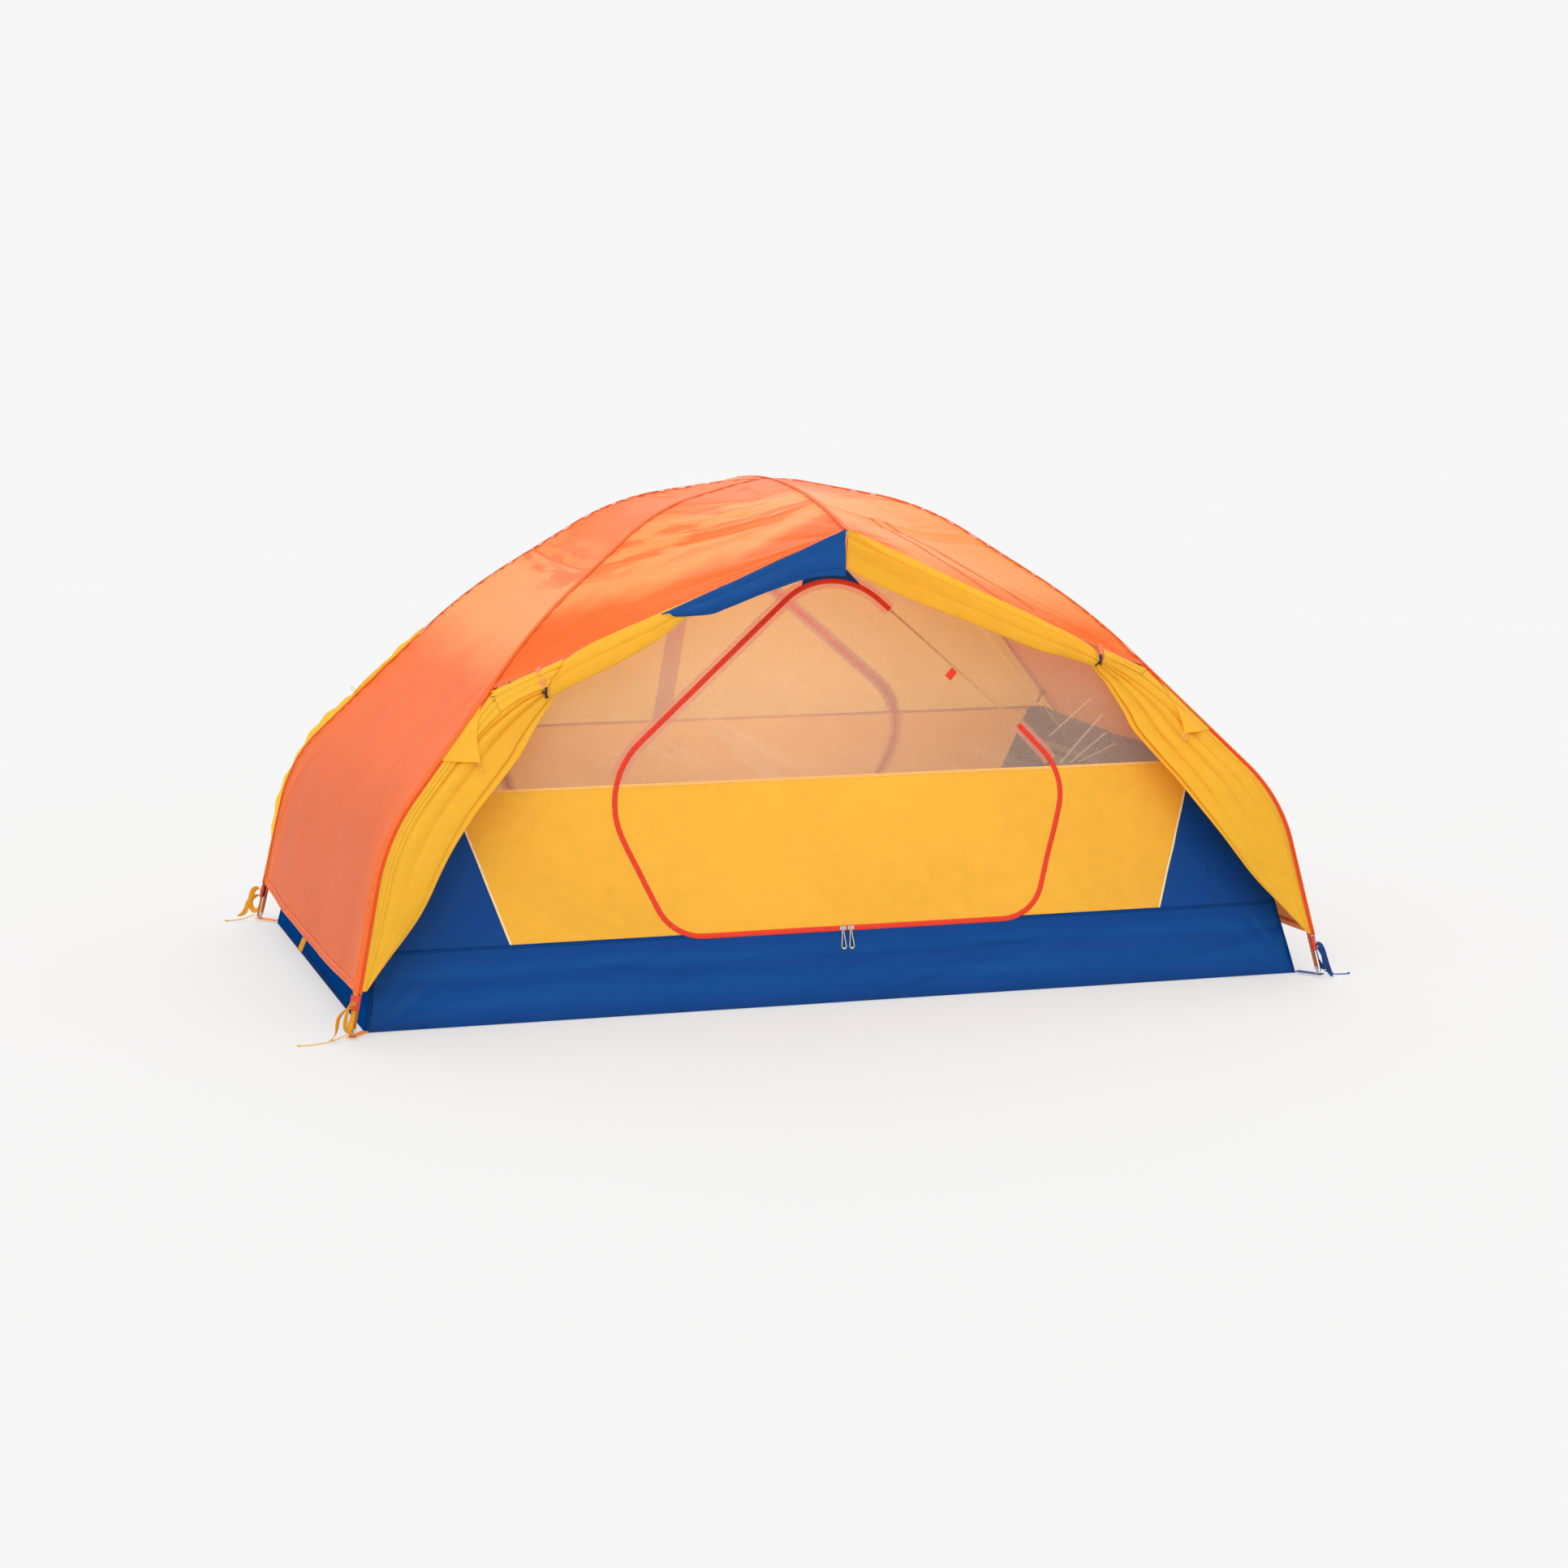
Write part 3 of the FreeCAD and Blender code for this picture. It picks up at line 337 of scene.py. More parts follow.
def netting(name, colour, cover=0.5, creases=0.0):
    """Fine insect mesh: pale threads with open holes between them, denser along soft creases; the
    denser streaks are partly real doubled mesh and partly painted highlight.
    """
    k = Mat(name)
    uv, x, y = k.coords()
    cells = k.set(k.n("TexVoronoi"), Vector=uv, Scale=1 / MESH_PITCH)
    k.mottle(k.noise(uv, 14, 3), colour, 0.94, 1.05)
    k.set(k.bsdf, Roughness=0.75, Specular_IOR_Level=0.2)
    thread = k.mix(0.5, k.bsdf.outputs[0], k.glow(colour), "MixShader")
    holes = k.n("BsdfTransparent").outputs[0]
    wave = k.mul(k.math("SUBTRACT", cells.outputs["Distance"], 0.4), 0.35)
    fac = k.add(wave, cover)
    # Pale streaks of denser threads: partly doubled mesh in creases, partly painted highlight.
    if creases:
        place = k.placed(uv, 57, (0.040, 0.42, 1), vector_type="TEXTURE")
        streak = k.ramp(k.noise(place, 1.0, 2, 0.4), [(0.52, grey(0)), (0.66, grey(1))])
        low = k.ramp(y, [(0.06, grey(1)), (0.20, grey(0.3))])
        spots = k.ramp(k.noise(uv, 2.3, 1), [(0.42, grey(0)), (0.58, grey(1))])
        fac = k.add(fac, k.mul(k.mul(streak, k.mul(spots, low)), creases))
    k.put(k.mix(fac, holes, thread, "MixShader"), k.out.inputs["Surface"])
    return k.m


def plain(name, colour, rough, metal, scale):
    """Moulded or metal surface with a fine grain in colour, gloss and relief."""
    k = Mat(name)
    pos = k.n("TexCoord").outputs["Object"]
    grain = k.noise(pos, scale, 4, 0.6)
    k.mottle(grain, colour, 0.86, 1.1)
    k.set(k.bsdf, Metallic=metal, Roughness=k.add(k.mul(grain, 0.2), rough - 0.1),
          Normal=k.bump(k.noise(pos, scale * 6, 2), 0.3, 0.0006))
    return k.finish()


def webbing(name, colour, share=0.0, right=None):
    """Woven tape with a diagonal rib; right is its colour on the tent's right-hand side."""
    k = Mat(name)
    uv, x, y = k.coords()
    rib = k.math("SINE", k.mul(k.add(y, k.math("PINGPONG", x, 0.004)), 3600))
    base = k.ramp(k.noise(uv, 120, 3), [(0.3, shade(colour, 0.85)), (0.7, shade(colour, 1.1))])
    if right:
        pos = k.n("SeparateXYZ")
        k.put(k.n("TexCoord").outputs["Object"], pos.inputs[0])
        base = k.mix(k.math("GREATER_THAN", pos.outputs["X"], 0.0), base, right)
    k.set(k.bsdf, Base_Color=base, Roughness=0.7, Sheen_Weight=0.08, Specular_IOR_Level=0.25,
          Normal=k.bump(rib, 0.4, 0.0005))
    return k.finish(share, share and k.glow(colour))


RIPSTOP, MESH_PITCH = 0.006, 0.0016
# Peach and melon are painted backlight on the orange fly cloth; orange and crown are its own
# colour.
ORANGE, CROWN, BACKLIT_PEACH = (1.0, 0.165, 0.030, 1), (1.0, 0.165, 0.024, 1), (1.0, 0.385, 0.125, 1)
BACKLIT_MELON, GLOW = (1.0, 0.290, 0.070, 1), (1.0, 0.33, 0.08, 1)
YELLOW, BLUE = (1.0, 0.600, 0.045, 1), (0.0, 0.050, 0.230, 1)
# Navy and sea blue are painted shade and painted sheen on the tub blue.
NAVY_SHADE, SEA = (0.0, 0.038, 0.175, 1), (0.0, 0.064, 0.258, 1)
# The fly end's bands by height are painted light: peach and melon where light shines through from
# behind, orange where the inner tent's solid walls block it, and its darker creased crown patches
# painted shade.
M_END = cloth("fly_end_cloth", ORANGE, GLOW, 0.28, rough=0.42, painted_shade_patches=(CROWN, 0.20, 0.70),
              painted_light_bands=[(0.0, CROWN), (0.40, CROWN), (0.56, BACKLIT_MELON), (0.66, BACKLIT_PEACH), (0.82, BACKLIT_PEACH),
                     (0.98, ORANGE), (2.0, ORANGE)], drift=0.06)
# The roof panels' bands and patches are painted light and shade in the same way, laid out
# differently on the two diagonals.
M_ROOF_A = cloth("fly_roof_cloth_a", BACKLIT_PEACH, GLOW, 0.28, rough=0.40, painted_shade_patches=(ORANGE, 0.10, 0.56),
                 painted_light_bands=[(0.0, CROWN), (0.10, ORANGE), (0.24, ORANGE), (0.34, BACKLIT_PEACH),
                        (0.58, BACKLIT_PEACH), (0.66, ORANGE)])
M_ROOF_B = cloth("fly_roof_cloth_b", BACKLIT_PEACH, GLOW, 0.28, rough=0.40, painted_shade_patches=(ORANGE, 0.0, 0.30),
                 painted_light_bands=[(0.0, CROWN), (0.12, CROWN), (0.22, BACKLIT_PEACH), (0.62, BACKLIT_PEACH),
                        (0.76, CROWN)])
M_SEAM = stitched("fly_seam_tape", (1.0, 0.205, 0.048, 1), (0.52, 0.045, 0.012, 1),
                  (-0.0048, 0.0048), 0.25, GLOW)
M_EDGE = stitched("fly_edge_tape", (1.0, 0.225, 0.085, 1), (0.74, 0.08, 0.02, 1),
                  (-0.004, 0.004), 0.25, GLOW)
M_FELL = stitched("fly_fell_seam", (0.96, 0.225, 0.070, 1), (0.80, 0.10, 0.03, 1), (0.0,), 0.2,
                  GLOW)
M_HEM = stitched("vestibule_tape", (1.0, 0.50, 0.035, 1), (0.80, 0.30, 0.03, 1),
                 (-0.0045, 0.0045), 0.2, (1.0, 0.5, 0.08, 1))
M_FACING = stitched("fly_facing", (0.98, 0.135, 0.032, 1), (0.62, 0.06, 0.015, 1),
                    (-0.005, 0.005), 0.15, GLOW)
M_YELLOW = cloth("vestibule_yellow", YELLOW, (1.0, 0.57, 0.09, 1), 0.35, rough=0.38)
M_WALL = cloth("wall_yellow", (0.98, 0.500, 0.048, 1), (1.0, 0.55, 0.08, 1), 0.2, rough=0.5)
# Paler copy of the wall yellow for the rear panels: painted light standing for light from behind,
# on top of its real large translucent share.
M_WALL_REAR_LIT = cloth("wall_yellow_rear_lit", (1.0, 0.62, 0.25, 1), (1.0, 0.66, 0.30, 1), 0.6,
                    rough=0.5)
M_BLUE = cloth("tub_blue", BLUE, None, 0.0, rough=0.42, spec=0.16)
# The tub wall's bands are painted light: the lighter sea-blue bands are painted sheen, the navy
# along its foot painted shade.
M_TUB = cloth("tub_wall_blue", BLUE, None, 0.0, rough=0.44, spec=0.14, drift=0.02,
              painted_light_bands=[(0.0, NAVY_SHADE), (0.02, BLUE), (0.06, SEA), (0.11, BLUE), (0.125, SEA),
                     (0.16, BLUE)])
M_END_WALL = cloth("end_wall_blue", BLUE, None, 0.0, rough=0.7, sheen=0.0, spec=0.0)
# Paler copy of the tub blue for the end panels: painted light standing for the lit haze of the mesh
# they are seen through.
M_END_PANEL = cloth("end_panel_blue", (0.13, 0.20, 0.36, 1), (0.2, 0.3, 0.5, 1), 0.3, rough=0.7,
                    sheen=0.0, spec=0.0)
# Paler mesh for strips on the front wall: partly doubled mesh in tucks, partly painted highlight.
M_TUCK_SHEEN = netting("mesh_tuck_sheen", (0.96, 0.78, 0.62, 1), 0.34)
M_PEAK = cloth("peak_blue", (0.0, 0.064, 0.260, 1), None, 0.0, rough=0.4, spec=0.18)
# Its pale crease streaks are partly painted highlight.
M_MESH = netting("mesh_beige", (0.86, 0.655, 0.475, 1), 0.37, creases=0.17)
M_WALL_SEAM = stitched("wall_seam", (0.90, 0.43, 0.07, 1), (0.98, 0.74, 0.40, 1),
                       (-0.0020, 0.0020))
M_TUB_SEAM = stitched("tub_seam", (0.0, 0.036, 0.17, 1), (0.012, 0.075, 0.26, 1), (0.0016,),
                      rough=0.75)
M_REAR_SEAM = stitched("rear_seam", (0.52, 0.17, 0.12, 1), (0.42, 0.13, 0.10, 1), (0.0,))
M_HINGE = stitched("hinge_seam", (0.66, 0.38, 0.20, 1), (0.40, 0.20, 0.10, 1), (0.0,))
M_GUSSET_SEAM = stitched("gusset_seam", (0.90, 0.66, 0.32, 1), (0.98, 0.80, 0.52, 1), (0.0,),
                         pitch=0.0036)
M_ZIP = webbing("zip_red", (0.86, 0.050, 0.018, 1))
M_TAPE = netting("zip_tape_pink", (0.88, 0.44, 0.33, 1), 0.62)
M_FLAP = webbing("storm_flap", (0.66, 0.24, 0.17, 1), 0.15)
M_PINK = webbing("tab_pink", (0.90, 0.27, 0.15, 1))
M_WEB_Y = webbing("webbing_yellow", (1.0, 0.43, 0.02, 1), 0.15)
M_WEB_B = webbing("webbing_blue", (0.004, 0.040, 0.20, 1))
M_WEB_2 = webbing("webbing_tabs", (1.0, 0.30, 0.03, 1), right=(0.004, 0.035, 0.16, 1))
M_POLE = plain("pole_copper", srgb(196, 112, 62), 0.32, 0.85, 90)
M_METAL = plain("bare_metal", srgb(196, 198, 202), 0.35, 0.9, 120)
M_BLACK = plain("moulded_black", srgb(28, 28, 30), 0.5, 0.0, 200)
M_ELASTIC = webbing("elastic_black", srgb(38, 30, 34))
M_RED = plain("moulded_red", srgb(214, 58, 36), 0.42, 0.0, 200)
M_BRASS = plain("grommet_brass", srgb(190, 150, 90), 0.3, 0.9, 160)
M_CREAM = webbing("cord_cream", srgb(246, 224, 176))
M_CREAM_TAPE = webbing("tape_cream", srgb(244, 226, 190), 0.2)
M_CORD_Y = webbing("cord_yellow", srgb(248, 200, 96))
M_CORD_B = webbing("cord_blue", srgb(24, 92, 176))


# ------------------------------------------------------------------ mesh helpers
def add_object(name, data, mat, body="tent"):
    obj = bpy.data.objects.new(name, data)
    SCENE.collection.objects.link(obj)
    obj.data.materials.append(mat)
    if body:
        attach(obj, body)
    return obj


def grids(name, parts, mat, body="tent", thick=0.0):
    """One mesh from several grids of points, each (rows, columns, 3), with UVs in metres."""
    verts, faces, uvs, base = [], [], [], 0
    for P in parts:
        n, m = P.shape[:2]
        du = np.r_[0, np.cumsum(np.linalg.norm(np.diff(P.mean(1), axis=0), axis=1))]
        dv = np.concatenate([np.zeros((n, 1)), np.cumsum(np.linalg.norm(np.diff(P, axis=1),
                                                                        axis=2), axis=1)], 1)
        dv -= dv[:, -1:] / 2
        verts.append(P.reshape(-1, 3))
        i, j = np.meshgrid(np.arange(n - 1), np.arange(m - 1), indexing="ij")
        a = (base + i * m + j).ravel()
        faces.append(np.stack([a, a + 1, a + m + 1, a + m], 1))
        uvs.append(np.stack([dv, np.repeat(du[:, None], m, 1)], 2).reshape(-1, 2))
        base += n * m
    verts, faces, uvs = np.concatenate(verts), np.concatenate(faces), np.concatenate(uvs)
    mesh = bpy.data.meshes.new(name)
    mesh.from_pydata(verts.tolist(), [], faces.tolist())
    layer = mesh.uv_layers.new(name="UVMap")
    layer.data.foreach_set("uv", uvs[faces.ravel()].astype(np.float32).ravel())
    mesh.polygons.foreach_set("use_smooth", [True] * len(mesh.polygons))
    mesh.update()
    obj = add_object(name, mesh, mat, body)
    if thick:
        mod = obj.modifiers.new("thickness", "SOLIDIFY")
        mod.thickness, mod.offset = thick, 0
    return obj


def sheet(name, parts, mat, replaces=None, body="tent", thick=0.0):
    """Cloth piece, hiding the CAD node it replaces; its flat width, length and area are worked out
    but not used.
    """
    obj = grids(name, parts, mat, body, thick)
    wide = float(sum(np.linalg.norm(np.diff(P, axis=1), axis=2).sum(1).max() for P in parts))
    tall = float(max(np.linalg.norm(np.diff(P, axis=0), axis=2).sum(0).max() for P in parts))
    area = 0
    for P in parts:
        a, b = P[1:, 1:] - P[:-1, :-1], P[1:, :-1] - P[:-1, 1:]
        area += np.linalg.norm(np.cross(a, b), axis=2).sum() / 2
    flat = float(area) / 1.02
    if flat < 0.31 * wide * tall:
        wide = flat / (0.5 * tall)
    if replaces:
        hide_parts(replaces)
    return obj


def unit(v):
    return v / np.maximum(np.linalg.norm(v, axis=-1, keepdims=True), 1e-12)


def heading(path):
    """Unit direction of travel at each point of a path."""
    return unit(np.gradient(path, axis=0))


def upright(n, start=0, stop=1):
    return np.linspace(start, stop, n)[:, None]


def level(n, start=0, stop=1):
    return np.linspace(start, stop, n)[None, :]


def tile(v, n):
    return np.tile(np.array(v, float), (n, 1))


ACROSS, UP, OUT = np.array([1.0, 0, 0]), (0, 0, 1), (0, -1, 0)


def ribbon(path, across, width, cols=5, crown=0.0, normal=None):
    """Grid of a flat band along path; across is the unit width direction at each point."""
    path, across = np.asarray(path, float), np.broadcast_to(across, np.shape(path))
    t = np.linspace(-0.5, 0.5, cols)
    P = path[:, None] + across[:, None] * (t[None, :, None] * np.reshape(width, (-1, 1, 1)))
    if crown:
        P = P + normal[:, None] * (crown * (1 - (2 * t) ** 2))[None, :, None]
    return P


def cord_curve(name, points, radius, mat, body="tent", closed=False):
    data = bpy.data.curves.new(name, "CURVE")
    data.dimensions, data.bevel_depth = "3D", radius
    data.bevel_resolution, data.resolution_u = (3, 6) if closed else (4, 8)
    sp = data.splines.new("NURBS")
    sp.points.add(len(points) - 1)
    for p, q in zip(sp.points, points):
        p.co = (*q, 1)
    sp.order_u = 4 if closed else 3
    sp.use_endpoint_u, sp.use_cyclic_u = not closed, closed
    return add_object(name, data, mat, body)


def smooth(table, n):
    """Stations (key, values...) resampled with a smooth curve through them."""
    table = np.array(table, float)
    k = np.linspace(0, len(table) - 1, n)
    out = []
    for c in range(table.shape[1]):
        col = table[:, c]
        i = np.clip(np.floor(k).astype(int), 0, len(col) - 2)
        f = k - i
        p0, p1 = col[np.maximum(i - 1, 0)], col[i]
        p2, p3 = col[i + 1], col[np.minimum(i + 2, len(col) - 1)]
        out.append(0.5 * (2 * p1 + (p2 - p0) * f + (2 * p0 - 5 * p1 + 4 * p2 - p3) * f ** 2
                          + (3 * p1 - p0 - 3 * p2 + p3) * f ** 3))
    return np.stack(out, 1)


def webbing_loop(base, down, out, wide, long, band, turn=2 * math.pi):
    """Sewn loop of narrow webbing hanging from base."""
    a = np.linspace(0, turn, 36)[:, None]
    down, out = unit(np.array(down, float)), unit(np.array(out, float))
    ring = np.array(base) + down * (long / 2 * (1 - np.cos(a))) + out * (wide / 2 * np.sin(a))
    return ribbon(ring, unit(np.cross(down, out)), band, 3)


# ------------------------------------------------------------------ cloth relief
def waves(x, y, seed, count=7, low=2.0, high=14.0):
    """Smooth irregular relief, about -1 to 1, from a fixed set of waves."""
    rng = np.random.default_rng(seed)
    x, y = np.broadcast_arrays(x, y)
    out, total = np.zeros(x.shape), 0
    for _ in range(count):
        f = rng.uniform(low, high)
        a = rng.uniform(0, math.pi)
        amp = (low / f) ** 0.7
        out += amp * np.sin(f * (x * math.cos(a) + y * math.sin(a)) + rng.uniform(0, 6.3)
                            + 0.8 * np.sin(0.6 * f * (y * math.cos(a) - x * math.sin(a))))
        total += amp
    return out / total


def crease(d, width):
    return np.exp(-(d / width) ** 2)


def rays(dx, dy, seed, count, start, stop, width=2.2, reach=0.4):
    """Tension creases fanning out from a pulled point, between two angles in degrees."""
    rng = np.random.default_rng(seed)
    dx, dy = np.broadcast_arrays(dx, dy)
    rho, phi = np.hypot(dx, dy), np.degrees(np.arctan2(dy, dx))
    out = np.zeros(rho.shape)
    for _ in range(count):
        at, far = rng.uniform(start, stop), reach * rng.uniform(0.5, 1.3)
        narrow, bend = width * rng.uniform(0.6, 1.6), rng.uniform(-14, 14)
        out += rng.choice([-1, 1]) * rng.uniform(0.5, 1) * np.exp(-(rho / far) ** 2) \
            * np.exp(-np.abs((phi - at - bend * rho) / narrow) ** 1.3)
    return out * np.clip(rho / 0.10, 0, 1)


def wrinkles(x, y, seed, count, box, heading, spread=14, width=0.007, length=0.12):
    """Short sharp creases scattered over box = (x0, x1, y0, y1), near one heading."""
    rng = np.random.default_rng(seed)
    x, y = np.broadcast_arrays(x, y)
    out = np.zeros(x.shape)
    for _ in range(count):
        u0, v0 = rng.uniform(box[0], box[1]), rng.uniform(box[2], box[3])
        a = math.radians(heading + rng.normal(0, spread))
        run = (x - u0) * math.cos(a) + (y - v0) * math.sin(a)
        off = (y - v0) * math.cos(a) - (x - u0) * math.sin(a) + rng.uniform(-1.2, 1.2) * run ** 2
        long, thin = length * rng.uniform(0.5, 1.4), width * rng.uniform(0.7, 1.5)
        out += rng.choice([-1, 1]) * rng.uniform(0.4, 1) \
            * np.exp(-np.abs(off / thin) ** 1.4 - (run / long) ** 2)
    return out


# ------------------------------------------------------------------ fly
def normals_of(P):
    a = np.gradient(P, axis=0)
    b = np.gradient(P, axis=1)
    n = unit(np.cross(a, b))
    out = P - np.array([0, 0, 0.3])
    flip = np.sign((n * out).sum(-1, keepdims=True))
    return n * np.where(flip == 0, 1, flip)


def fly_end(side, rows=210, cols=150):
    """End panel, its crown at row 0 and its curved hem at the last row."""
    v = level(cols, -1)
    u = upright(rows)
    edge = 1 - v ** 2
    r_hem = at_z(FLY, HEM_Z - 0.014 * edge)
    r = START_R + (r_hem - START_R) * u
    y = SIN * r * v
    P = np.stack([side * COS * r, y, at_r(FLY, r)], 2)
    N = normals_of(P)
    arc = u * 2.0
    sag = -0.014 * edge * np.sin(np.pi * np.clip(u, 0, 1)) ** 0.8
    fold = 0.0050 * waves(y * 2.2, arc * 1.4, 11 + side, 8, 2, 9) * edge ** 0.4
    near = np.exp(-(1 - np.abs(v)) * SIN * r / 0.035)
    pucker = 0.0022 * np.sin(arc * 120 + 4 * np.sin(arc * 11) + 2 * np.sin(arc * 31)) * near
    cross = -0.006 * crease(r - 0.63, 0.010) * edge ** 0.5
    crown = 0.0034 * wrinkles(y, arc, 31 + side, 34, (-0.34, 0.34, 0.12, 0.95), 20, 26, 0.008,
                              0.12)
    pulled = 0.0040 * rays(SIN * 0.63 - np.abs(y), arc - 0.93, 41 + side, 9, -70, 70, 3.0, 0.20)
    corner = 0.0050 * rays(SIN * r_hem - np.abs(y), 2.0 - arc, 47 + side, 6, 35, 84, 2.6, 0.55)
    hem = 0.0050 * crease(arc - 1.80 - 0.05 * edge, 0.022) - 0.0035 * crease(
        arc - 1.86 - 0.05 * edge, 0.02)
    soft = 0.0030 * wrinkles(y, arc, 53 + side, 12, (-0.5, 0.5, 1.0, 1.8), 78, 16, 0.02, 0.30)
    sharp = crown + pulled + corner + hem * edge + soft
    lift = sag + fold + pucker + cross + sharp * edge ** 0.35
    return P + N * (lift * np.clip(r / 0.10, 0, 1))[..., None]


def fly_roof(side, face, rows=150, cols=130):
    """Roof panel between a rib and the ridge over the brow pole."""
    t = upright(rows)
    s = level(cols)
    r = START_R + (ROOF_END - START_R) * t
    rib = on_ribs(side, face, r, at_r(FLY, r))
    y = RIDGE_END * t
    ridge = np.stack([np.zeros_like(y), face * y, fly_ridge(y)], 2)
    P = rib + (ridge - rib) * s[..., None]
    N = normals_of(P)
    edge = 4 * s * (1 - s)
    arc = t * 1.1
    across = s * t * 0.93
    seed = 51 + side + 3 * face
    sag = -0.020 * edge * t
    fold = 0.005 * waves(s * t * 2.4, arc * 2.5, seed, 8, 2, 10) * edge ** 0.5
    peak = 0.0050 * rays(0.93 - across, 1.1 - arc, seed + 7, 16, 4, 62, 1.8, 0.50)
    tie = 0.0045 * rays(across, 1.1 - arc, seed + 9, 7, 8, 78, 2.6, 0.34)
    crown = 0.0030 * wrinkles(across, arc, seed + 11, 26, (0.05, 0.55, 0.15, 0.62), 28, 22, 0.007,
                              0.10)
    band = 0.0045 * crease(arc - 0.60 - 0.10 * s, 0.010) - 0.0035 * crease(arc - 0.64 - 0.12 * s,
                                                                          0.012)
    near = np.exp(-np.minimum(s, 1 - s) * (0.1 + t) / 0.035)
    pucker = 0.0016 * np.sin(arc * 130 + 4 * np.sin(arc * 9) + 2 * np.sin(arc * 27)) * near
    lift = sag + fold + pucker + (peak + tie + crown + band) * edge ** 0.35
    P = P + N * (lift * np.clip(t / 0.1, 0, 1))[..., None]
    if face > 0:
        return P
    # The free front edge is cut in a shallow hollow curve.
    hollow = np.clip((t - 0.8) / 0.2, 0, 1) ** 2 * edge * 0.02
    return P - heading(P) * hollow[..., None]


def rear_panel(side, rows=150, cols=120):
    """Half of the rear vestibule, from the rib at column 0 to the zip."""
    t = upright(rows)
    s = level(cols)
    z_hi = at_r(FLY, ROOF_END)
    z = z_hi + (HEM_Z - z_hi) * t
    r = at_z(FLY, z)
    rib = on_ribs(side, 1, r, z)
    mid = REAR_TOP + (REAR_FOOT - REAR_TOP) * t[..., None] + np.array([side * 0.006, 0, 0])
    P = rib + (mid - rib) * s[..., None]
    N = normals_of(P)
    edge = 4 * s * (1 - s)
    fold = 0.006 * waves(s * 2.0, t * 2.6, 71 + side, 8, 2, 10) * edge ** 0.6
    across, down = 1.15 * s, 1.30 * t
    pulled = (0.0100 * rays(1.15 - across, down, 61 + side, 9, 12, 84, 2.2, 0.45)
              + 0.0105 * rays(1.15 - across, 1.30 - down, 65 + side, 8, 6, 78, 2.6, 0.55)
              + 0.0090 * rays(across, 1.30 - down, 67 + side, 7, 8, 80, 2.6, 0.42))
    soft = 0.0050 * wrinkles(across, down, 69 + side, 14, (0.1, 1.05, 0.15, 1.15), 64, 22, 0.018,
                             0.22)
    lift = -0.024 * edge * np.sin(np.pi * t) ** 0.5 + fold + (pulled + soft) * edge ** 0.35
    P = P + N * lift[..., None]
    # The top edge is sewn to the edge of the roof.
    join = fly_roof(side, 1, cols=cols)[-1] - P[0]
    return P + join * ((1 - t) ** 3)[..., None]


for tag, side in HANDS:
    sheet("fly_end_cloth_" + tag, [fly_end(side)], M_END, "fly_end_" + tag)
    for row, face in BOTH:
        sheet("fly_roof_cloth_%s_%s" % (row, tag), [fly_roof(side, face)],
              M_ROOF_A if side == face else M_ROOF_B, "fly_roof_%s_%s" % (row, tag))
    sheet("rear_vestibule_cloth_" + tag, [rear_panel(side)], M_YELLOW, "vestibule_" + tag)


def rib_path(side, face, r0, r1, lift, n=160):
    """Points along a rib, with the directions across it and away from it."""
    seg = resample(FLY[(FLY[:, 0] >= r0) & (FLY[:, 0] <= r1)], n)
    run = heading(seg)
    out = np.stack([seg[:, 0] - run[:, 1] * lift, seg[:, 1] + run[:, 0] * lift], 1)
    pts, nrm, tan = (on_ribs(side, face, *ab) for ab in (out.T, (-run[:, 1], run[:, 0]), run.T))
    return pts, unit(np.cross(nrm, tan)), nrm


seams = []
for side, face in CORNERS:
    pts, across, nrm = rib_path(side, face, 0.002, HEM_R + 0.001, 0.0012, 260)
    low = np.clip((0.80 - pts[:, 2]) / 0.05, 0, 1)
    wobble = 1 + 0.05 * np.sin(np.arange(260) * 0.9) * np.sin(np.arange(260) * 0.23)
    seams.append(ribbon(pts, across, (0.0125 + 0.006 * low) * wobble, 7, 0.0012, nrm))
grids("fly_rib_seams", seams, M_SEAM)
# Facings turned to the front along the front ribs, below the roof.
facings = []
for side in (-1, 1):
    pts, across, nrm = rib_path(side, -1, ROOF_END - 0.012, HEM_R + 0.001, 0.0)
    run_of = heading(pts)
    inward = np.array([-side * 1.0, -0.2, 0])
    inward = unit(inward - run_of * (run_of @ inward)[:, None])
    facings.append(ribbon(pts + inward * 0.0070 + np.array([0, -0.002, 0]), inward, 0.015))
grids("front_rib_facings", facings, M_FACING)
y = np.linspace(-RIDGE_END, RIDGE_END, 120)
ridge_pts = np.stack([0 * y, y, fly_ridge(y) + 0.0014], 1)
grids("fly_ridge_seam", [ribbon(ridge_pts, ACROSS, 0.012, 5, 0.001, tile(UP, 120))], M_SEAM)


def on_grid(P, row, col):
    """Points at fractional (row, column) positions of a grid, 0 to 1."""
    i = np.clip(np.asarray(row) * (P.shape[0] - 1), 0, P.shape[0] - 1.001)
    j = np.clip(np.asarray(col) * (P.shape[1] - 1), 0, P.shape[1] - 1.001)
    a, b = i.astype(int), j.astype(int)
    f, g = (i - a)[:, None], (j - b)[:, None]
    return (P[a, b] * (1 - f) * (1 - g) + P[a + 1, b] * f * (1 - g) + P[a, b + 1] * (1 - f) * g
            + P[a + 1, b + 1] * f * g)


def tape_on(P, rows, cols, width, lift, strips=4):
    """Grid of a tape laid on a grid surface along a line of (row, column) positions."""
    N = normals_of(P)
    mid, up = on_grid(P, rows, cols), unit(on_grid(N, rows, cols))
    run = heading(mid)
    return ribbon(mid + up * lift, unit(np.cross(up, run)), width, strips)


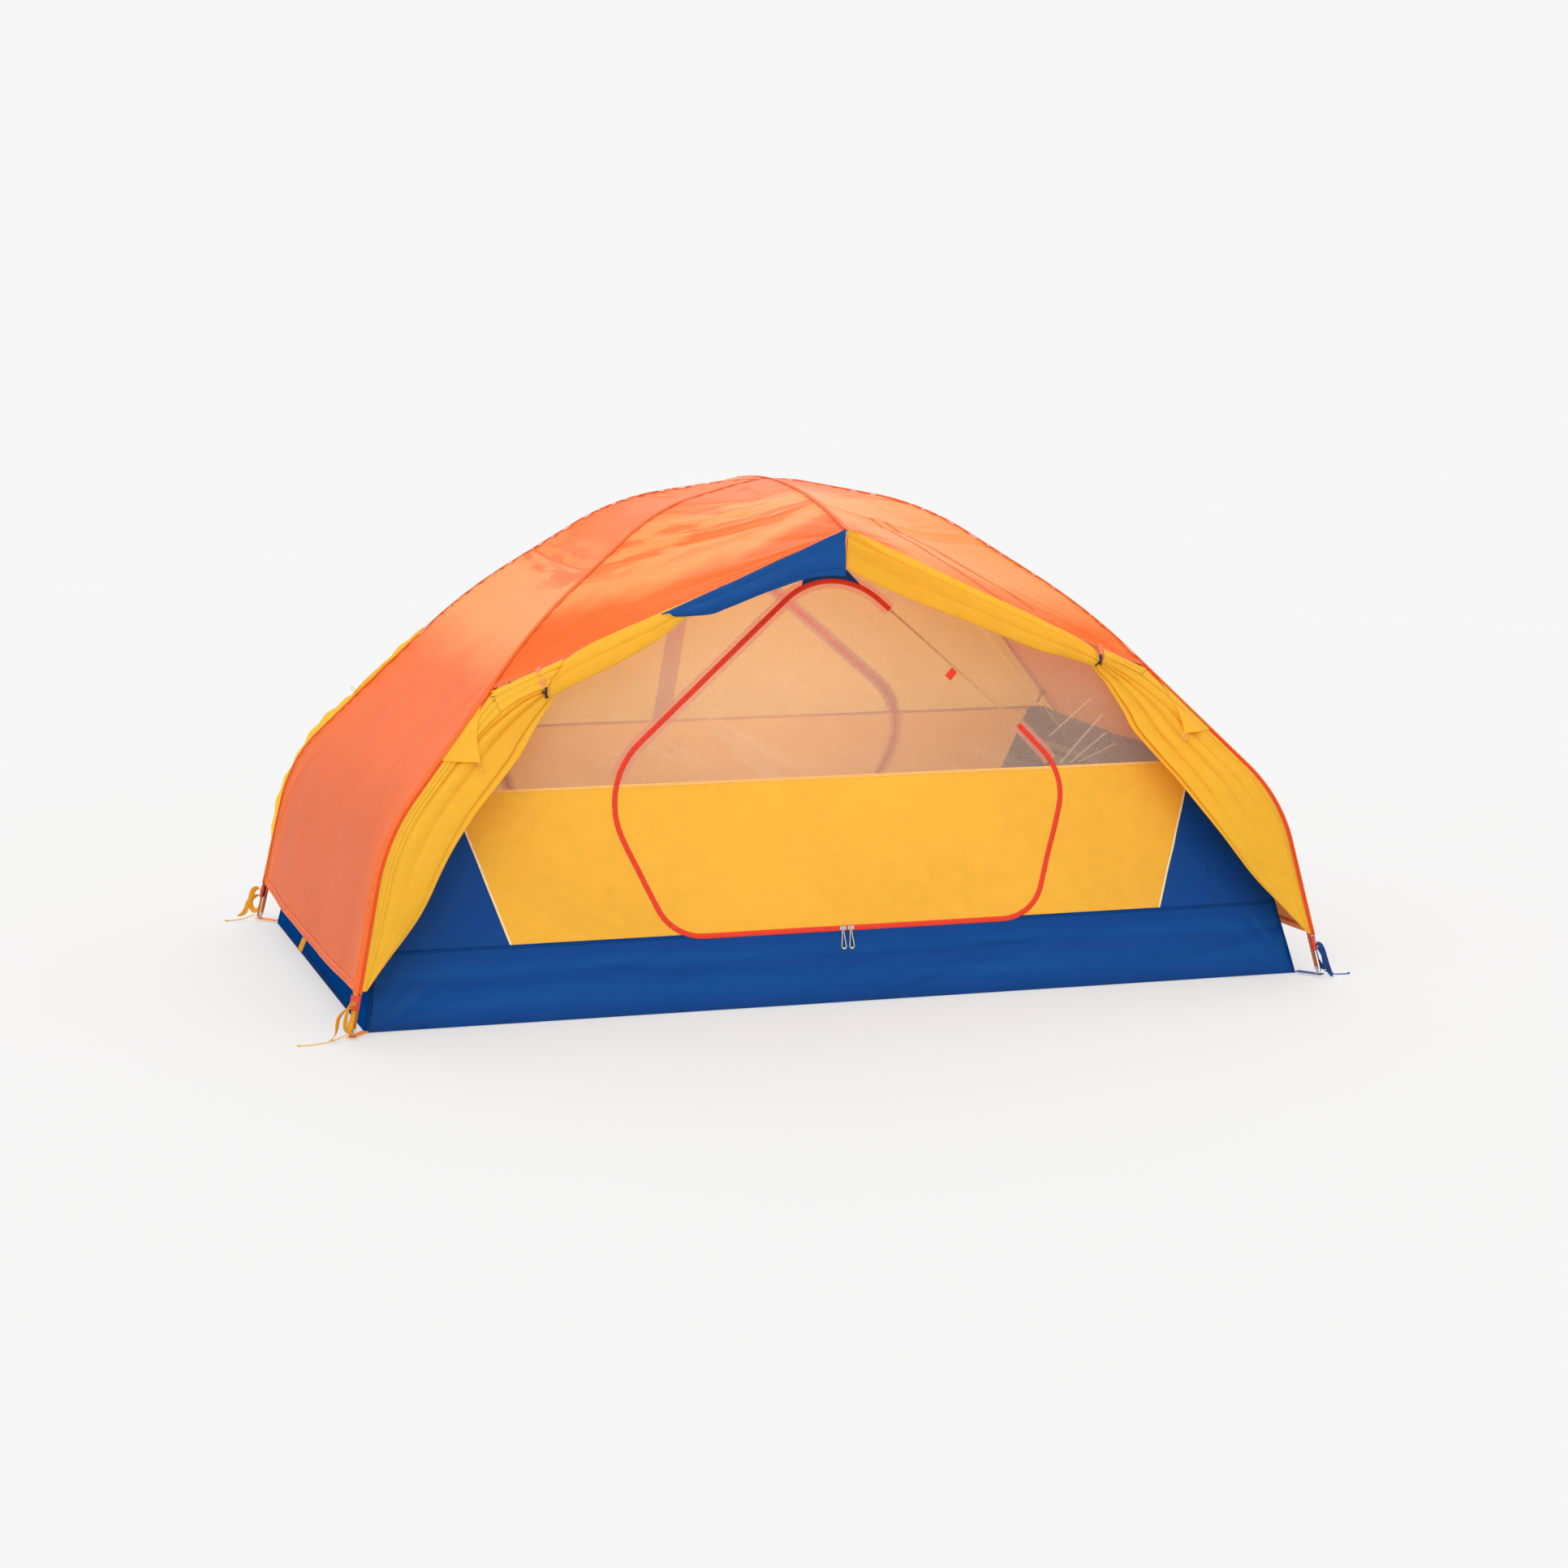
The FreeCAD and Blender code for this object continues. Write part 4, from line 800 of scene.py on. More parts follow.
fells, edges, hems = [], [], []
for side in (-1, 1):
    u = np.linspace(0.01, 0.99, 120)
    row = (0.63 - START_R) / (HEM_R - START_R)
    P = fly_end(side)
    fells.append(tape_on(P, 0 * u + row, u, 0.009, 0.0015))
    edges.append(tape_on(P, 0 * u + 0.997, u, 0.008, 0.0012))
    for face in (-1, 1):
        Q = fly_roof(side, face)
        edges.append(tape_on(Q, 0 * u + 0.993, u, 0.014, 0.0016))
        v = np.linspace(0, 1, 60)
        if side != face:
            fells += [tape_on(Q, a + (c - a) * v, b + (d - b) * v, 0.006, 0.0014)
                      for a, b, c, d in ((0.58, 0.62, 0.93, 0.30), (0.60, 0.70, 0.97, 0.42))]
    R, u = rear_panel(side), np.linspace(0.005, 0.985, 110)
    hems += [tape_on(R, 0 * u + place, u, width, 0.0014)
             for place, width in ((0.992, 0.018), (0.008, 0.012))]
grids("fly_fell_seams", fells, M_FELL)
grids("rear_vestibule_tapes", hems, M_HEM)
grids("fly_edge_binding", edges, M_EDGE)

# Guy-out flaps: a small cloth triangle sewn along each rib, with a webbing loop at its tip.
GUY_R = 1.128
for row, face in BOTH:
    flaps, loops = [], []
    for side in (-1, 1):
        z = np.linspace(0.745, 0.612, 18)
        r = at_z(FLY, z)
        base = on_ribs(side, face, r, z)
        if face < 0:
            tip, hang = np.array([side * 0.882, -0.646, 0.610]), (0, 0, -1)
        else:
            hang = unit(np.array([side * COS * 0.62, SIN * 0.62, 0.78]))
            tip = on_ribs(side, 1, GUY_R, at_r(FLY, GUY_R)) + hang * 0.008
        t = np.linspace(0, 1, 14)[None, :, None]
        P = base[:, None] + (tip - base)[:, None] * t
        bow = np.sin(np.pi * t[..., 0])
        P[..., 0] += side * 0.010 * (bow * np.sin(np.pi * np.linspace(0, 0.5, 18))[::-1, None])
        billow = bow * np.linspace(0.4, 1, 18)[:, None]
        P[..., 1] += face * 0.010 * billow
        P[..., 0] += side * 0.004 * billow
        flaps.append(P)
        loops.append(webbing_loop(tip, hang, (side, 0, 0.2), 0.010, 0.018, 0.005))
    sheet("guy_out_flaps_" + row, flaps, M_YELLOW)
    piece = grids("guy_out_loops_" + row, loops, M_CREAM_TAPE)
    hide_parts("guy_loops")
hems = [webbing_loop((side * (COS * HEM_R + 0.003), 0, 0.092), (side * 0.4, 0, -0.92),
                     (side * 0.25, -0.97, 0.1), 0.008, 0.034, 0.012) for side in (-1, 1)]
piece = grids("hem_loops", hems, M_WEB_Y)
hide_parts("guy_loops")

# Storm flap inside the rear vestibule zip.
w = np.linspace(0.02, 0.97, 90)
mid = REAR_TOP + (REAR_FOOT - REAR_TOP) * w[:, None] + np.array([0, -0.0095, -0.0060])
grids("vestibule_storm_flap", [ribbon(mid, ACROSS, 0.052)], M_FLAP)

# Yellow piping on the rear ribs, where the rear vestibule is sewn on.
piping = []
for side in (-1, 1):
    pts, across, nrm = rib_path(side, 1, 0.93, HEM_R - 0.01, 0.0, 160)
    grow = 0.006 + 0.003 * np.sin(np.arange(160) * 0.11) + 0.0012 * np.sin(np.arange(160) * 0.47)
    grow *= np.sin(np.linspace(0.15, math.pi - 0.1, 160)) ** 0.5
    pts = pts + np.array([0, 0.006, 0]) + nrm * grow[:, None]
    piping.append(ribbon(pts, nrm, grow * 2))
grids("rear_rib_piping", piping, M_YELLOW)

# ------------------------------------------------------------------ inner tent
DOOR = [(0.487, 0.631), (0.178, 0.915), (0.037, 1.049), (-0.590, 0.528), (-0.428, 0.172),
        (0.484, 0.172), (0.601, 0.505)]
DOOR_CUTS = [0, 0, 0.160, 0.150, 0.078, 0.080, 0.085]
DOOR_LINE = rounded([(x, z / SLOPE) for x, z in DOOR], DOOR_CUTS, closed=True, per=14)
DOOR_LINE = np.r_[DOOR_LINE, DOOR_LINE[:1]]


def wall_relief(x, z):
    """Slackness of the wall cloth, shared by the wall and the door leaf."""
    a = 0.004 * waves(x * 3.0, z * 4.0, 5, 8, 2, 9)
    fan = 0.0022 * np.sin(60 * (z - 0.2 * x) + 3 * np.sin(7 * x)) * crease(z - 0.36, 0.12)
    return a + fan * 0.6


def on_wall(x, z, face, lift=0.001):
    """Point on the leaning front or rear wall; the rear is the front turned half way round."""
    x, z = np.broadcast_arrays(x, z)
    h = lift + wall_relief(x, z)
    P = np.stack([x, -HALF_W + z * TAN - h * SLOPE, z + h * math.sin(LEAN)], -1)
    return P if face < 0 else P * np.array([-1, -1, 1])


def turning(line):
    """1 where an outline runs anticlockwise, -1 where it runs clockwise."""
    return 1 if np.sum(line[:-1, 0] * line[1:, 1] - line[1:, 0] * line[:-1, 1]) > 0 else -1


def side_dir(line):
    d = heading(line)
    return np.stack([d[:, 1], -d[:, 0]], 1)


def offset_line(line, shift):
    return line + side_dir(line) * (shift * turning(line))


def span_at(line, z):
    """Leftmost and rightmost x of the outline at each height."""
    lo, hi = [], []
    for q in np.ravel(z / SLOPE):
        a, b = line[:-1], line[1:]
        hit = (a[:, 1] - q) * (b[:, 1] - q) <= 0
        a, b = a[hit], b[hit]
        dz = np.where(np.abs(b[:, 1] - a[:, 1]) < 1e-9, 1e-9, b[:, 1] - a[:, 1])
        x = a[:, 0] + (b[:, 0] - a[:, 0]) * np.clip((q - a[:, 1]) / dz, 0, 1)
        lo.append(x.min() if len(x) else 0.0)
        hi.append(x.max() if len(x) else 0.0)
    return np.array(lo), np.array(hi)


EVEN = resample(DOOR_LINE, 500)
HOLE, LEAF = offset_line(EVEN, 0.0035), offset_line(EVEN, -0.0035)


def band(xa, xb, z, cols, face, lift=0.001):
    """Grid on a wall between two edges, given at each height."""
    x = xa[:, None] + (xb - xa)[:, None] * np.linspace(0, 1, cols)
    return on_wall(x, z[:, None], face, lift)


def strip(xa, xb, z, cols, face, lift=0.0018):
    """Sewn seam lying along a wall, as long rows."""
    return band(xa, xb, z, cols, face, lift).swapaxes(0, 1)


def mesh_edge(z):
    """Outer edge of the mesh wall: along the rib, then straight in to the top patch."""
    low, eave = wall_x(np.minimum(z, EAVE_Z)), wall_x(EAVE_Z)
    part = np.clip((z - EAVE_Z) / (MESH_TOP - EAVE_Z), 0, 1)
    return np.where(z < EAVE_Z, low, eave + (0.078 - eave) * part)


def wedge_x(z):
    """Seam between the yellow panel and the blue corner gusset."""
    return 0.815 + 0.345 * (z - TUB_Z)


# The zip's path: the door outline without the sewn hinge.
ring = resample(offset_line(EVEN, 0), 500)
a, b = np.array(DOOR[0]) / (1, SLOPE), np.array(DOOR[1]) / (1, SLOPE)
hinge = np.linalg.norm(b - a)
way = (b - a) / hinge
off, on = (ring - a) @ np.array([way[1], -way[0]]), (ring - a) @ way
keep = ~((np.abs(off) < 0.004) & (on > 0) & (on < hinge))
order = np.roll(np.arange(len(ring)), -np.argmax(~keep))
ZIP = resample(ring[order][keep[order]], 620)
ZIP_HIGH = ZIP[:, 1] * SLOPE > 0.540
ZIP_RUNS = [c for c in np.split(np.arange(len(ZIP)), np.flatnonzero(np.diff(ZIP_HIGH)) + 1)
            if len(c) > 5]


def zip_band(face, offset, width, lift, cols, ends=(-0.5, 0.5)):
    """Band along the zip, lift[0] off the wall at its edges and lift[1] more along its middle."""
    line = offset_line(ZIP, offset)
    s = np.linspace(*ends, cols)
    pts = line[:, None] + side_dir(line)[:, None] * (s[None, :, None] * width)
    rise = lift[0] + lift[1] * (1 - (2 * s) ** 2)
    return on_wall(pts[..., 0], pts[..., 1] * SLOPE, face, rise[None, :])


for tag, face in BOTH:
    body = tag + "_door"
    # The rear panels take the paler painted-light copy of the wall yellow.
    wall, stitch = (M_WALL, M_WALL_SEAM) if face < 0 else (M_WALL_REAR_LIT, M_REAR_SEAM)
    z = np.linspace(0.175, PANEL_Z, 34)
    (lo, hi), edge = span_at(HOLE, z), wedge_x(z)
    sheet("lower_panel_cloth_" + tag, [band(-edge, lo, z, 30, face), band(hi, edge, z, 30, face)],
          wall, "lower_panels")
    # Sewn seams: along the top of the panel, down each gusset and along the tub.
    rim = np.array([0.5295, 0.5225])
    lo, hi = span_at(HOLE, rim)
    grids("panel_top_seam_" + tag, [band(-wall_x(rim), lo, rim, 60, face,
                                         0.0018)[::-1].swapaxes(0, 1),
                                    strip(hi, wall_x(rim), rim, 60, face)], stitch)
    grids("door_panel_seam_" + tag, [strip(*span_at(LEAF, rim), rim, 80, face)], stitch, body)
    z = np.linspace(0.174, MESH_Z, 60)
    grids("gusset_seams_" + tag, [band(side * wedge_x(z) - 0.0028, side * wedge_x(z) + 0.0028, z,
                                       3, face, 0.0018) for side in (-1, 1)], M_GUSSET_SEAM)
    rim = np.array([0.1775, 0.1705])
    grids("tub_top_seam_" + tag, [strip(-wall_x(rim), wall_x(rim), rim, 200, face, 0.0022)],
          M_TUB_SEAM)
    z = np.linspace(0.175, PANEL_Z, 30)
    sheet("corner_gusset_cloth_" + tag, [band(-wall_x(z), -wedge_x(z), z, 14, face),
                                         band(wedge_x(z), wall_x(z), z, 14, face)],
          M_BLUE, "corner_wedges")
    z = np.linspace(MESH_Z, MESH_TOP, 50)
    over = z > HOLE[:, 1].max() * SLOPE - 0.002
    lo, hi = (np.where(over, 0.03, x) for x in span_at(HOLE, z))
    sheet("mesh_wall_cloth_" + tag, [band(-mesh_edge(z), lo, z, 34, face),
                                     band(hi, mesh_edge(z), z, 34, face)],
          M_MESH, "mesh_walls")
    if face < 0:
        # Pale diagonal strips on the front mesh: partly doubled mesh in tucks, partly painted
        # highlight.
        tucks = []
        for xa, za, xb, zb in ((0.565, 0.601, 0.683, 0.688), (0.587, 0.535, 0.710, 0.648),
                               (0.613, 0.534, 0.714, 0.603), (0.637, 0.536, 0.738, 0.576)):
            x, z = upright(24, xa, xb), upright(24, za, zb)
            tucks.append(on_wall(x + np.linspace(-0.0042, 0.0042, 3), z, face, 0.0022))
        grids("mesh_tucks", tucks, M_TUCK_SHEEN)
    z = np.linspace(0.1765, PANEL_Z, 34)
    sheet("door_panel_cloth_" + tag, [band(*span_at(LEAF, z), z, 60, face)], wall,
          "door_panel_" + tag, body=body)
    z = np.linspace(MESH_Z, LEAF[:, 1].max() * SLOPE - 0.0005, 44)
    sheet("door_mesh_cloth_" + tag, [band(*span_at(LEAF, z), z, 50, face)], M_MESH,
          "door_mesh_" + tag, body=body)
    # Tub wall, with its top edge let into the door zip.
    q = upright(30)
    z = FLOOR_Z + (0.1752 - FLOOR_Z) * q
    x = level(300, -1) * wall_x(z)
    bulge = 0.007 * waves(x * 2.5, z * 9, 91 + face, 9, 2, 12) * np.sin(np.pi * q) ** 0.6
    low = wrinkles(x, z, 97 + face, 16, (-1.05, 1.1, 0.03, 0.13), 2, 5, 0.008, 0.34)
    fan = sum(rays(1.16 - side * x, z, 103 + side, 7, 8, 70, 3.4, 0.20) for side in (-1, 1))
    bulge += (0.0045 * low + 0.006 * fan) * np.sin(np.pi * q) ** 0.5
    P = on_wall(x, z, face)
    P[..., 1] += bulge * face
    P[..., 2] = np.maximum(P[..., 2], FLOOR_Z)
    sheet("tub_wall_cloth_" + tag, [P], M_TUB, "tub_walls")
    # The coil parts down its middle: one half on the wall, one on the leaf.
    halves = [(-0.5, 0), (0, 0.5)][::turning(ZIP)]
    half_coils = [zip_band(face, 0, 0.0125, (0.0016, 0.0024), 5, ends) for ends in halves]
    grids("door_zip_leaf_coil_" + tag, half_coils[:1], M_ZIP, body, 0.0008)
    coil = grids("door_zip_coil_" + tag, half_coils[1:], M_ZIP, thick=0.0008)
    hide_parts("door_zips")
    # Tapes show on each side of it where it crosses the mesh.
    for name, shift, on in (("out", 0.0120, "tent"), ("in", -0.0120, body)):
        tape = zip_band(face, shift, 0.012, (0.0017, 0.0), 4)
        grids("door_zip_tape_%s_%s" % (name, tag), [tape[c] for c in ZIP_RUNS if ZIP_HIGH[c[0]]],
              M_TAPE, on)
    if face > 0:
        # Storm flap outside the rear zip.
        flap = zip_band(face, 0, 0.030, (0.0060, 0.0), 5)
        grids("door_zip_flap_rear", [flap[c] for c in ZIP_RUNS], M_FLAP, body)
    # Sewn hinge seam and top patch.
    x, z = (upright(40, *ends) for ends in zip(DOOR[0], DOOR[1]))
    off = np.linspace(-0.0026, 0.0026, 4)
    seam = grids("door_hinge_seam_" + tag, [on_wall(x + off * 0.68, z + off * 0.73, face, 0.0012)],
                 M_HINGE)
    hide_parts("door_hinge_tapes")
    cap = HOLE[HOLE[:, 1] * SLOPE > 0.88]
    cap = cap[np.argsort(cap[:, 0])]
    across, rise = level(40, -0.045, 0.110), upright(14)
    base = np.interp(across, cap[:, 0], cap[:, 1] * SLOPE)
    crest = 1.062 - 0.30 * np.abs(across)
    arch = on_wall(across * (1 - 0.45 * rise), base + (crest - base) * rise, face, 0.0030)
    sheet("top_patch_cloth_" + tag, [arch], M_PEAK, "top_patches")


# End walls: blue below the panel height, mesh above; rails stop at the leaning walls.
def end_wall(side, r_a, r_b, rows, cols=70):
    r = upright(rows, r_a, r_b)
    z = at_r(INNER, r)
    reach = np.minimum(IN_SIN * r, wall_y(z) - 0.003)
    v = level(cols, -1)
    P = np.stack([side * IN_COS * r + 0 * v, reach * v, z + 0 * v], 2)
    rel = -0.012 * (1 - v ** 2) + 0.004 * waves(reach * v * 3, z * 4, 40 + side, 7, 2, 9)
    return P + normals_of(P) * rel[..., None] * np.clip(r / 0.2, 0, 1)[..., None]


for tag, side in HANDS:
    lo, hi = float(at_z(INNER, 0.530)), float(at_z(INNER, TUB_Z))
    sheet("end_mesh_cloth_" + tag, [end_wall(side, 0.03, lo, 60)], M_MESH, "mesh_end_" + tag)
    sheet("end_panel_cloth_" + tag, [end_wall(side, lo, hi, 26)], M_END_PANEL)
    low = end_wall(side, hi, float(at_z(INNER, FLOOR_Z)), 12)
    low[..., 2] = np.maximum(low[..., 2], FLOOR_Z)
    sheet("tub_end_cloth_" + tag, [low], M_END_WALL)

corners, ceilings = [], []
for face, side in CORNERS:
    z = np.linspace(0.002, PANEL_Z, 60)
    edge = np.stack([side * (wall_x(z) + 0.0005), face * (wall_y(z) + 0.0008), z], 1)
    corners.append(ribbon(edge, unit(np.array([side * 1.0, -face * 0.9, 0])), 0.010, 5, 0.003,
                          tile(unit(np.array([side * 0.7, face * 1.0, 0])), 60)))
    t = upright(40)
    s = level(30)
    r = 0.03 + (float(at_z(INNER, 0.785)) - 0.03) * t
    rib = np.stack([side * IN_COS * r, face * IN_SIN * r, at_r(INNER, r)], 2)
    y = 0.018 + (wall_y(1.03) - 0.018) * t
    crest = INNER[0, 1] - (INNER[0, 1] - 1.016) * (y / wall_y(1.03)) ** 1.2
    P = rib + (np.stack([0 * y, face * y, crest], 2) - rib) * s[..., None]
    P[..., 2] -= 0.010 * 4 * s * (1 - s) * t
    ceilings.append(P)
grids("corner_piping", corners, M_TUB_SEAM)
sheet("ceiling_mesh_cloth", ceilings, M_MESH, "mesh_ceiling")

x, y = np.meshgrid(np.linspace(-HALF_L - 0.001, HALF_L + 0.001, 90),
                   np.linspace(-HALF_W - 0.001, HALF_W + 0.001, 60))
P = np.stack([x, y, 0.0016 + 0.0004 * waves(x * 4, y * 4, 3)], 2)
sheet("floor_cloth", [P], M_BLUE, "floor_sheet")

# ------------------------------------------------------------------ tied-back front vestibule
EDGE_TOP = np.array([0, -RIDGE_END, float(fly_ridge(RIDGE_END))])
SEAM_Z = float(at_r(FLY, ROOF_END))


def edge_point(side, part):
    low = on_ribs(side, -1, ROOF_END, SEAM_Z)
    return EDGE_TOP + (low - EDGE_TOP) * np.asarray(part)[..., None]


def pleats(q, s, seed, count, power=0.7):
    """Height of gathered folds across q and along s: round crests and sharp valleys, 0 to 1."""
    rng = np.random.default_rng(seed)
    warp = q + 0 * s
    for k in (1, 2, 3):
        warp = warp + rng.uniform(0.03, 0.09) / k * np.sin(
            2 * np.pi * (k * q + rng.uniform(0, 1)) + rng.uniform(-1.5, 1.5) * s)
    wave = np.abs(np.sin(np.pi * (count * warp + rng.uniform(0, 1))))
    size = 0.72 + 0.28 * np.sin(2 * np.pi * (1.7 * q + rng.uniform(0, 1)) + 2.5 * s)
    return wave ** power * size


def gathered(centre, wide_dir, thick_dir, wide, thick, seed, turn, cols, depth, count):
    """Cloth wrapped into a flattened bundle, with folds running along its whole length."""
    q = level(cols)
    s = upright(len(centre))
    th = np.radians(turn[0] + (turn[1] - turn[0]) * q)
    fold = (pleats(q, s, seed, count) - 0.5) * np.reshape(depth, (-1, 1))
    fold = fold + 0.0018 * waves(q * 9, s * 14, seed + 5, 6, 1, 4)
    w = np.asarray(wide)[:, None] / 2 + fold
    h = np.asarray(thick)[:, None] / 2 + fold
    return centre[:, None] + wide_dir[:, None] * (w * np.cos(th))[..., None] \
        + thick_dir[:, None] * (h * np.sin(th))[..., None]


def toward(path, goal, part):
    """Path drawn in to a goal as part goes from 0 to 1."""
    return path + (goal - path) * (part ** 2 * (3 - 2 * part))[:, None]


TIES = {tag: np.mean(np.array(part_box("toggle_" + tag), float), 0) for tag in ("left", "right")}
NECK = {tag: spot + np.array([0, 0.019, -0.004]) for tag, spot in TIES.items()}


def roll_upper(tag, side, table, seed):
    """Cloth gathered along the roof's free edge, drawn in to its tie."""
    t = smooth(table, 120)
    c = edge_point(side, t[:, 0])
    c[:, 1] += 0.006
    c[:, 2] += -t[:, 1] / 2 - 0.005
    c = toward(c, NECK[tag], np.clip((t[:, 0] - 0.70) / (t[-1, 0] - 0.70), 0, 1))
    return gathered(c, tile(UP, 120), tile(OUT, 120), t[:, 1], t[:, 2], seed, (6, 338), 110,
                    t[:, 1] * 0.20 + 0.001, 4)


def roll_lower(tag, side, table, seed):
    """Cloth sewn along the roof edge and the rib, then gathered round its free inner edge."""
    t = smooth(table, 190)
    z = t[:, 0]
    neck = NECK[tag]
    r = at_z(FLY, z) - 0.013
    c = np.stack([side * (COS * r - t[:, 1] - t[:, 2] / 2), -SIN * r - 0.018, z], 1)
    c = toward(c, neck, np.clip((z - neck[2] + 0.060) / 0.060, 0, 1))
    fade = 0.14 + 0.86 * np.clip((z - 0.30) / 0.36, 0, 1) ** 1.2
    bundle = gathered(c, tile((-side, 0, 0), 190), tile(OUT, 190), t[:, 2], t[:, 3], seed,
                      (142, -150), 170, t[:, 2] * 0.17 * fade + 0.001, 7)
    turn = neck[2] - 0.050
    share = np.clip((neck[2] - z) / 0.050, 0, 1)
    start = 0.79 if side < 0 else 0.84
    free = edge_point(side, start + (1 - start) * share) - np.array([0, 0.002, 0.004])
    zr = 0.110 + (SEAM_Z - 0.110) * np.clip((z - 0.110) / (turn - 0.110), 0, 1)
    rf = at_z(FLY, zr)
    rib = np.stack([side * (COS * rf - 0.0125), -SIN * rf - 0.0065, zr], 1)
    seam = np.where((share < 1)[:, None], free, rib)
    f = np.linspace(0, 1, 31)[None, :-1, None]
    first = bundle[:, :1]
    sewn = seam[:, None] + (first - seam[:, None]) * f
    span = np.linalg.norm(first - seam[:, None], axis=2)
    relief = pleats(f[..., 0], upright(190), seed + 3, 3.5) * span * 0.16
    sewn[..., 1] -= (relief + 0.004) * np.sin(np.pi * f[..., 0]) ** 0.7
    return np.concatenate([sewn, bundle], 1)


# Stations: place along the free edge, height, thickness.
LEFT_UPPER = [(0.34, 0.012, 0.010), (0.44, 0.032, 0.018), (0.52, 0.054, 0.026),
              (0.62, 0.064, 0.030), (0.72, 0.066, 0.032), (0.79, 0.050, 0.030),
              (0.83, 0.034, 0.026), (0.850, 0.027, 0.023)]
RIGHT_UPPER = [(0.004, 0.080, 0.014), (0.16, 0.086, 0.020), (0.39, 0.076, 0.026),
               (0.62, 0.068, 0.030), (0.72, 0.056, 0.030), (0.78, 0.040, 0.026),
               (0.820, 0.027, 0.023)]
# Stations: height, distance in from the rib, width, thickness.
LEFT_LOWER = [(0.752, 0.092, 0.026, 0.022), (0.738, 0.086, 0.048, 0.024),
              (0.712, 0.056, 0.098, 0.028), (0.685, 0.036, 0.124, 0.030),
              (0.650, 0.022, 0.140, 0.032), (0.600, 0.014, 0.152, 0.034),
              (0.450, 0.014, 0.138, 0.034), (0.290, 0.014, 0.098, 0.030),
              (0.175, 0.014, 0.034, 0.018), (0.110, 0.006, 0.004, 0.004)]
RIGHT_LOWER = [(0.785, 0.100, 0.026, 0.022), (0.764, 0.088, 0.042, 0.024),
               (0.728, 0.046, 0.090, 0.028), (0.665, 0.020, 0.140, 0.032),
               (0.600, 0.014, 0.176, 0.034), (0.450, 0.014, 0.188, 0.034),
               (0.290, 0.014, 0.122, 0.028), (0.175, 0.014, 0.044, 0.018),
               (0.110, 0.006, 0.004, 0.004)]
for tag, side, up, low in (("left", -1, LEFT_UPPER, LEFT_LOWER),
                           ("right", 1, RIGHT_UPPER, RIGHT_LOWER)):
    for name, roll in (("upper", roll_upper(tag, side, up, 7 + side)),
                       ("lower", roll_lower(tag, side, low, 17 + side))):
        sheet("tied_cloth_%s_%s" % (name, tag), [roll], M_YELLOW, "roll_" + tag)
    # Elastic loop round the neck, and the tab that holds its toggle to the fly.
    axis = unit(np.array([side * 0.80, 0.10, -0.58]))
    cross = unit(np.cross(axis, [0, 1.0, 0]))
    a = np.linspace(0, 2 * math.pi, 49)[:, None]
    hoop = NECK[tag] + cross * (0.0160 * np.cos(a)) + np.array([0, -1.0, 0]) * (0.0145 * np.sin(a))
    piece = grids("tie_elastic_" + tag, [ribbon(hoop, axis, 0.0042, 4)], M_ELASTIC)
    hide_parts("toggle_loops")
    edge = edge_point(side, 0.86 if side < 0 else 0.83)
    strap = smooth([edge + (0, -0.003, 0.004), edge + (0, -0.010, -0.012),
                    TIES[tag] + (side * 0.004, 0.004, 0.018), TIES[tag] + (0, 0.005, 0.004)], 30)
    grids("tie_tab_loop_" + tag, [ribbon(strap, axis, 0.011, 4)], M_PINK)
t = smooth([(0.0, 0.106, 0.003), (0.04, 0.089, 0.007), (0.105, 0.071, 0.012), (0.21, 0.062, 0.013),
            (0.32, 0.058, 0.013), (0.37, 0.054, 0.012), (0.445, 0.034, 0.009),
            (0.515, 0.004, 0.003)], 110)
c = edge_point(-1, t[:, 0])
c += np.array([-0.003, -0.002, 0]) - np.stack([0 * t[:, 1], 0 * t[:, 1], t[:, 1] / 2 + 0.003], 1)
peak = gathered(c, tile(UP, 110), tile(OUT, 110), t[:, 1], t[:, 2], 3, (4, 338), 90,
                t[:, 1] * 0.07, 5)
sheet("peak_cloth", [peak], M_PEAK, "peak_flap")

# ------------------------------------------------------------------ cords
ROUTES = {
    1: [(-1.221, -0.762, 0.016), (-1.243, -0.770, 0.006), (-1.274, -0.775, 0.0016),
        (-1.306, -0.789, 0.0016), (-1.337, -0.791, 0.0016)],
    2: [(1.220, -0.758, 0.016), (1.238, -0.757, 0.006), (1.262, -0.751, 0.0016),
        (1.291, -0.752, 0.0016)],
    3: [(-1.221, 0.760, 0.016), (-1.242, 0.764, 0.006), (-1.270, 0.766, 0.0016),
        (-1.300, 0.758, 0.0016)],
    4: [(1.221, 0.760, 0.016), (1.243, 0.766, 0.006), (1.272, 0.772, 0.0016),
        (1.304, 0.768, 0.0016)],
}


def knot(name, at, radius, mat, body="tent"):
    """Overhand knot: a closed trefoil of cord."""
    points, size = [], radius * 0.75
    for k in range(24):
        t = 2 * math.pi * k / 24
        points.append((at[0] + size * (math.sin(t) + 2 * math.sin(2 * t)),
                       at[1] + size * (math.cos(t) - 2 * math.cos(2 * t)),
                       at[2] - size * 0.8 * math.sin(3 * t)))
    return cord_curve(name, points, radius, mat, body, closed=True)


for number, route in ROUTES.items():
    mat = M_CORD_Y if number in (1, 3) else M_CORD_B
    piece = cord_curve("stake_cord_line_%d" % number, route, 0.0015, mat)
    end = np.array(route[-1]) + (0, 0, 0.0016)
    ends = [knot("stake_cord_knot_%d" % number, end, 0.0013, mat)]
    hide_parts("stake_cord_%d" % number)
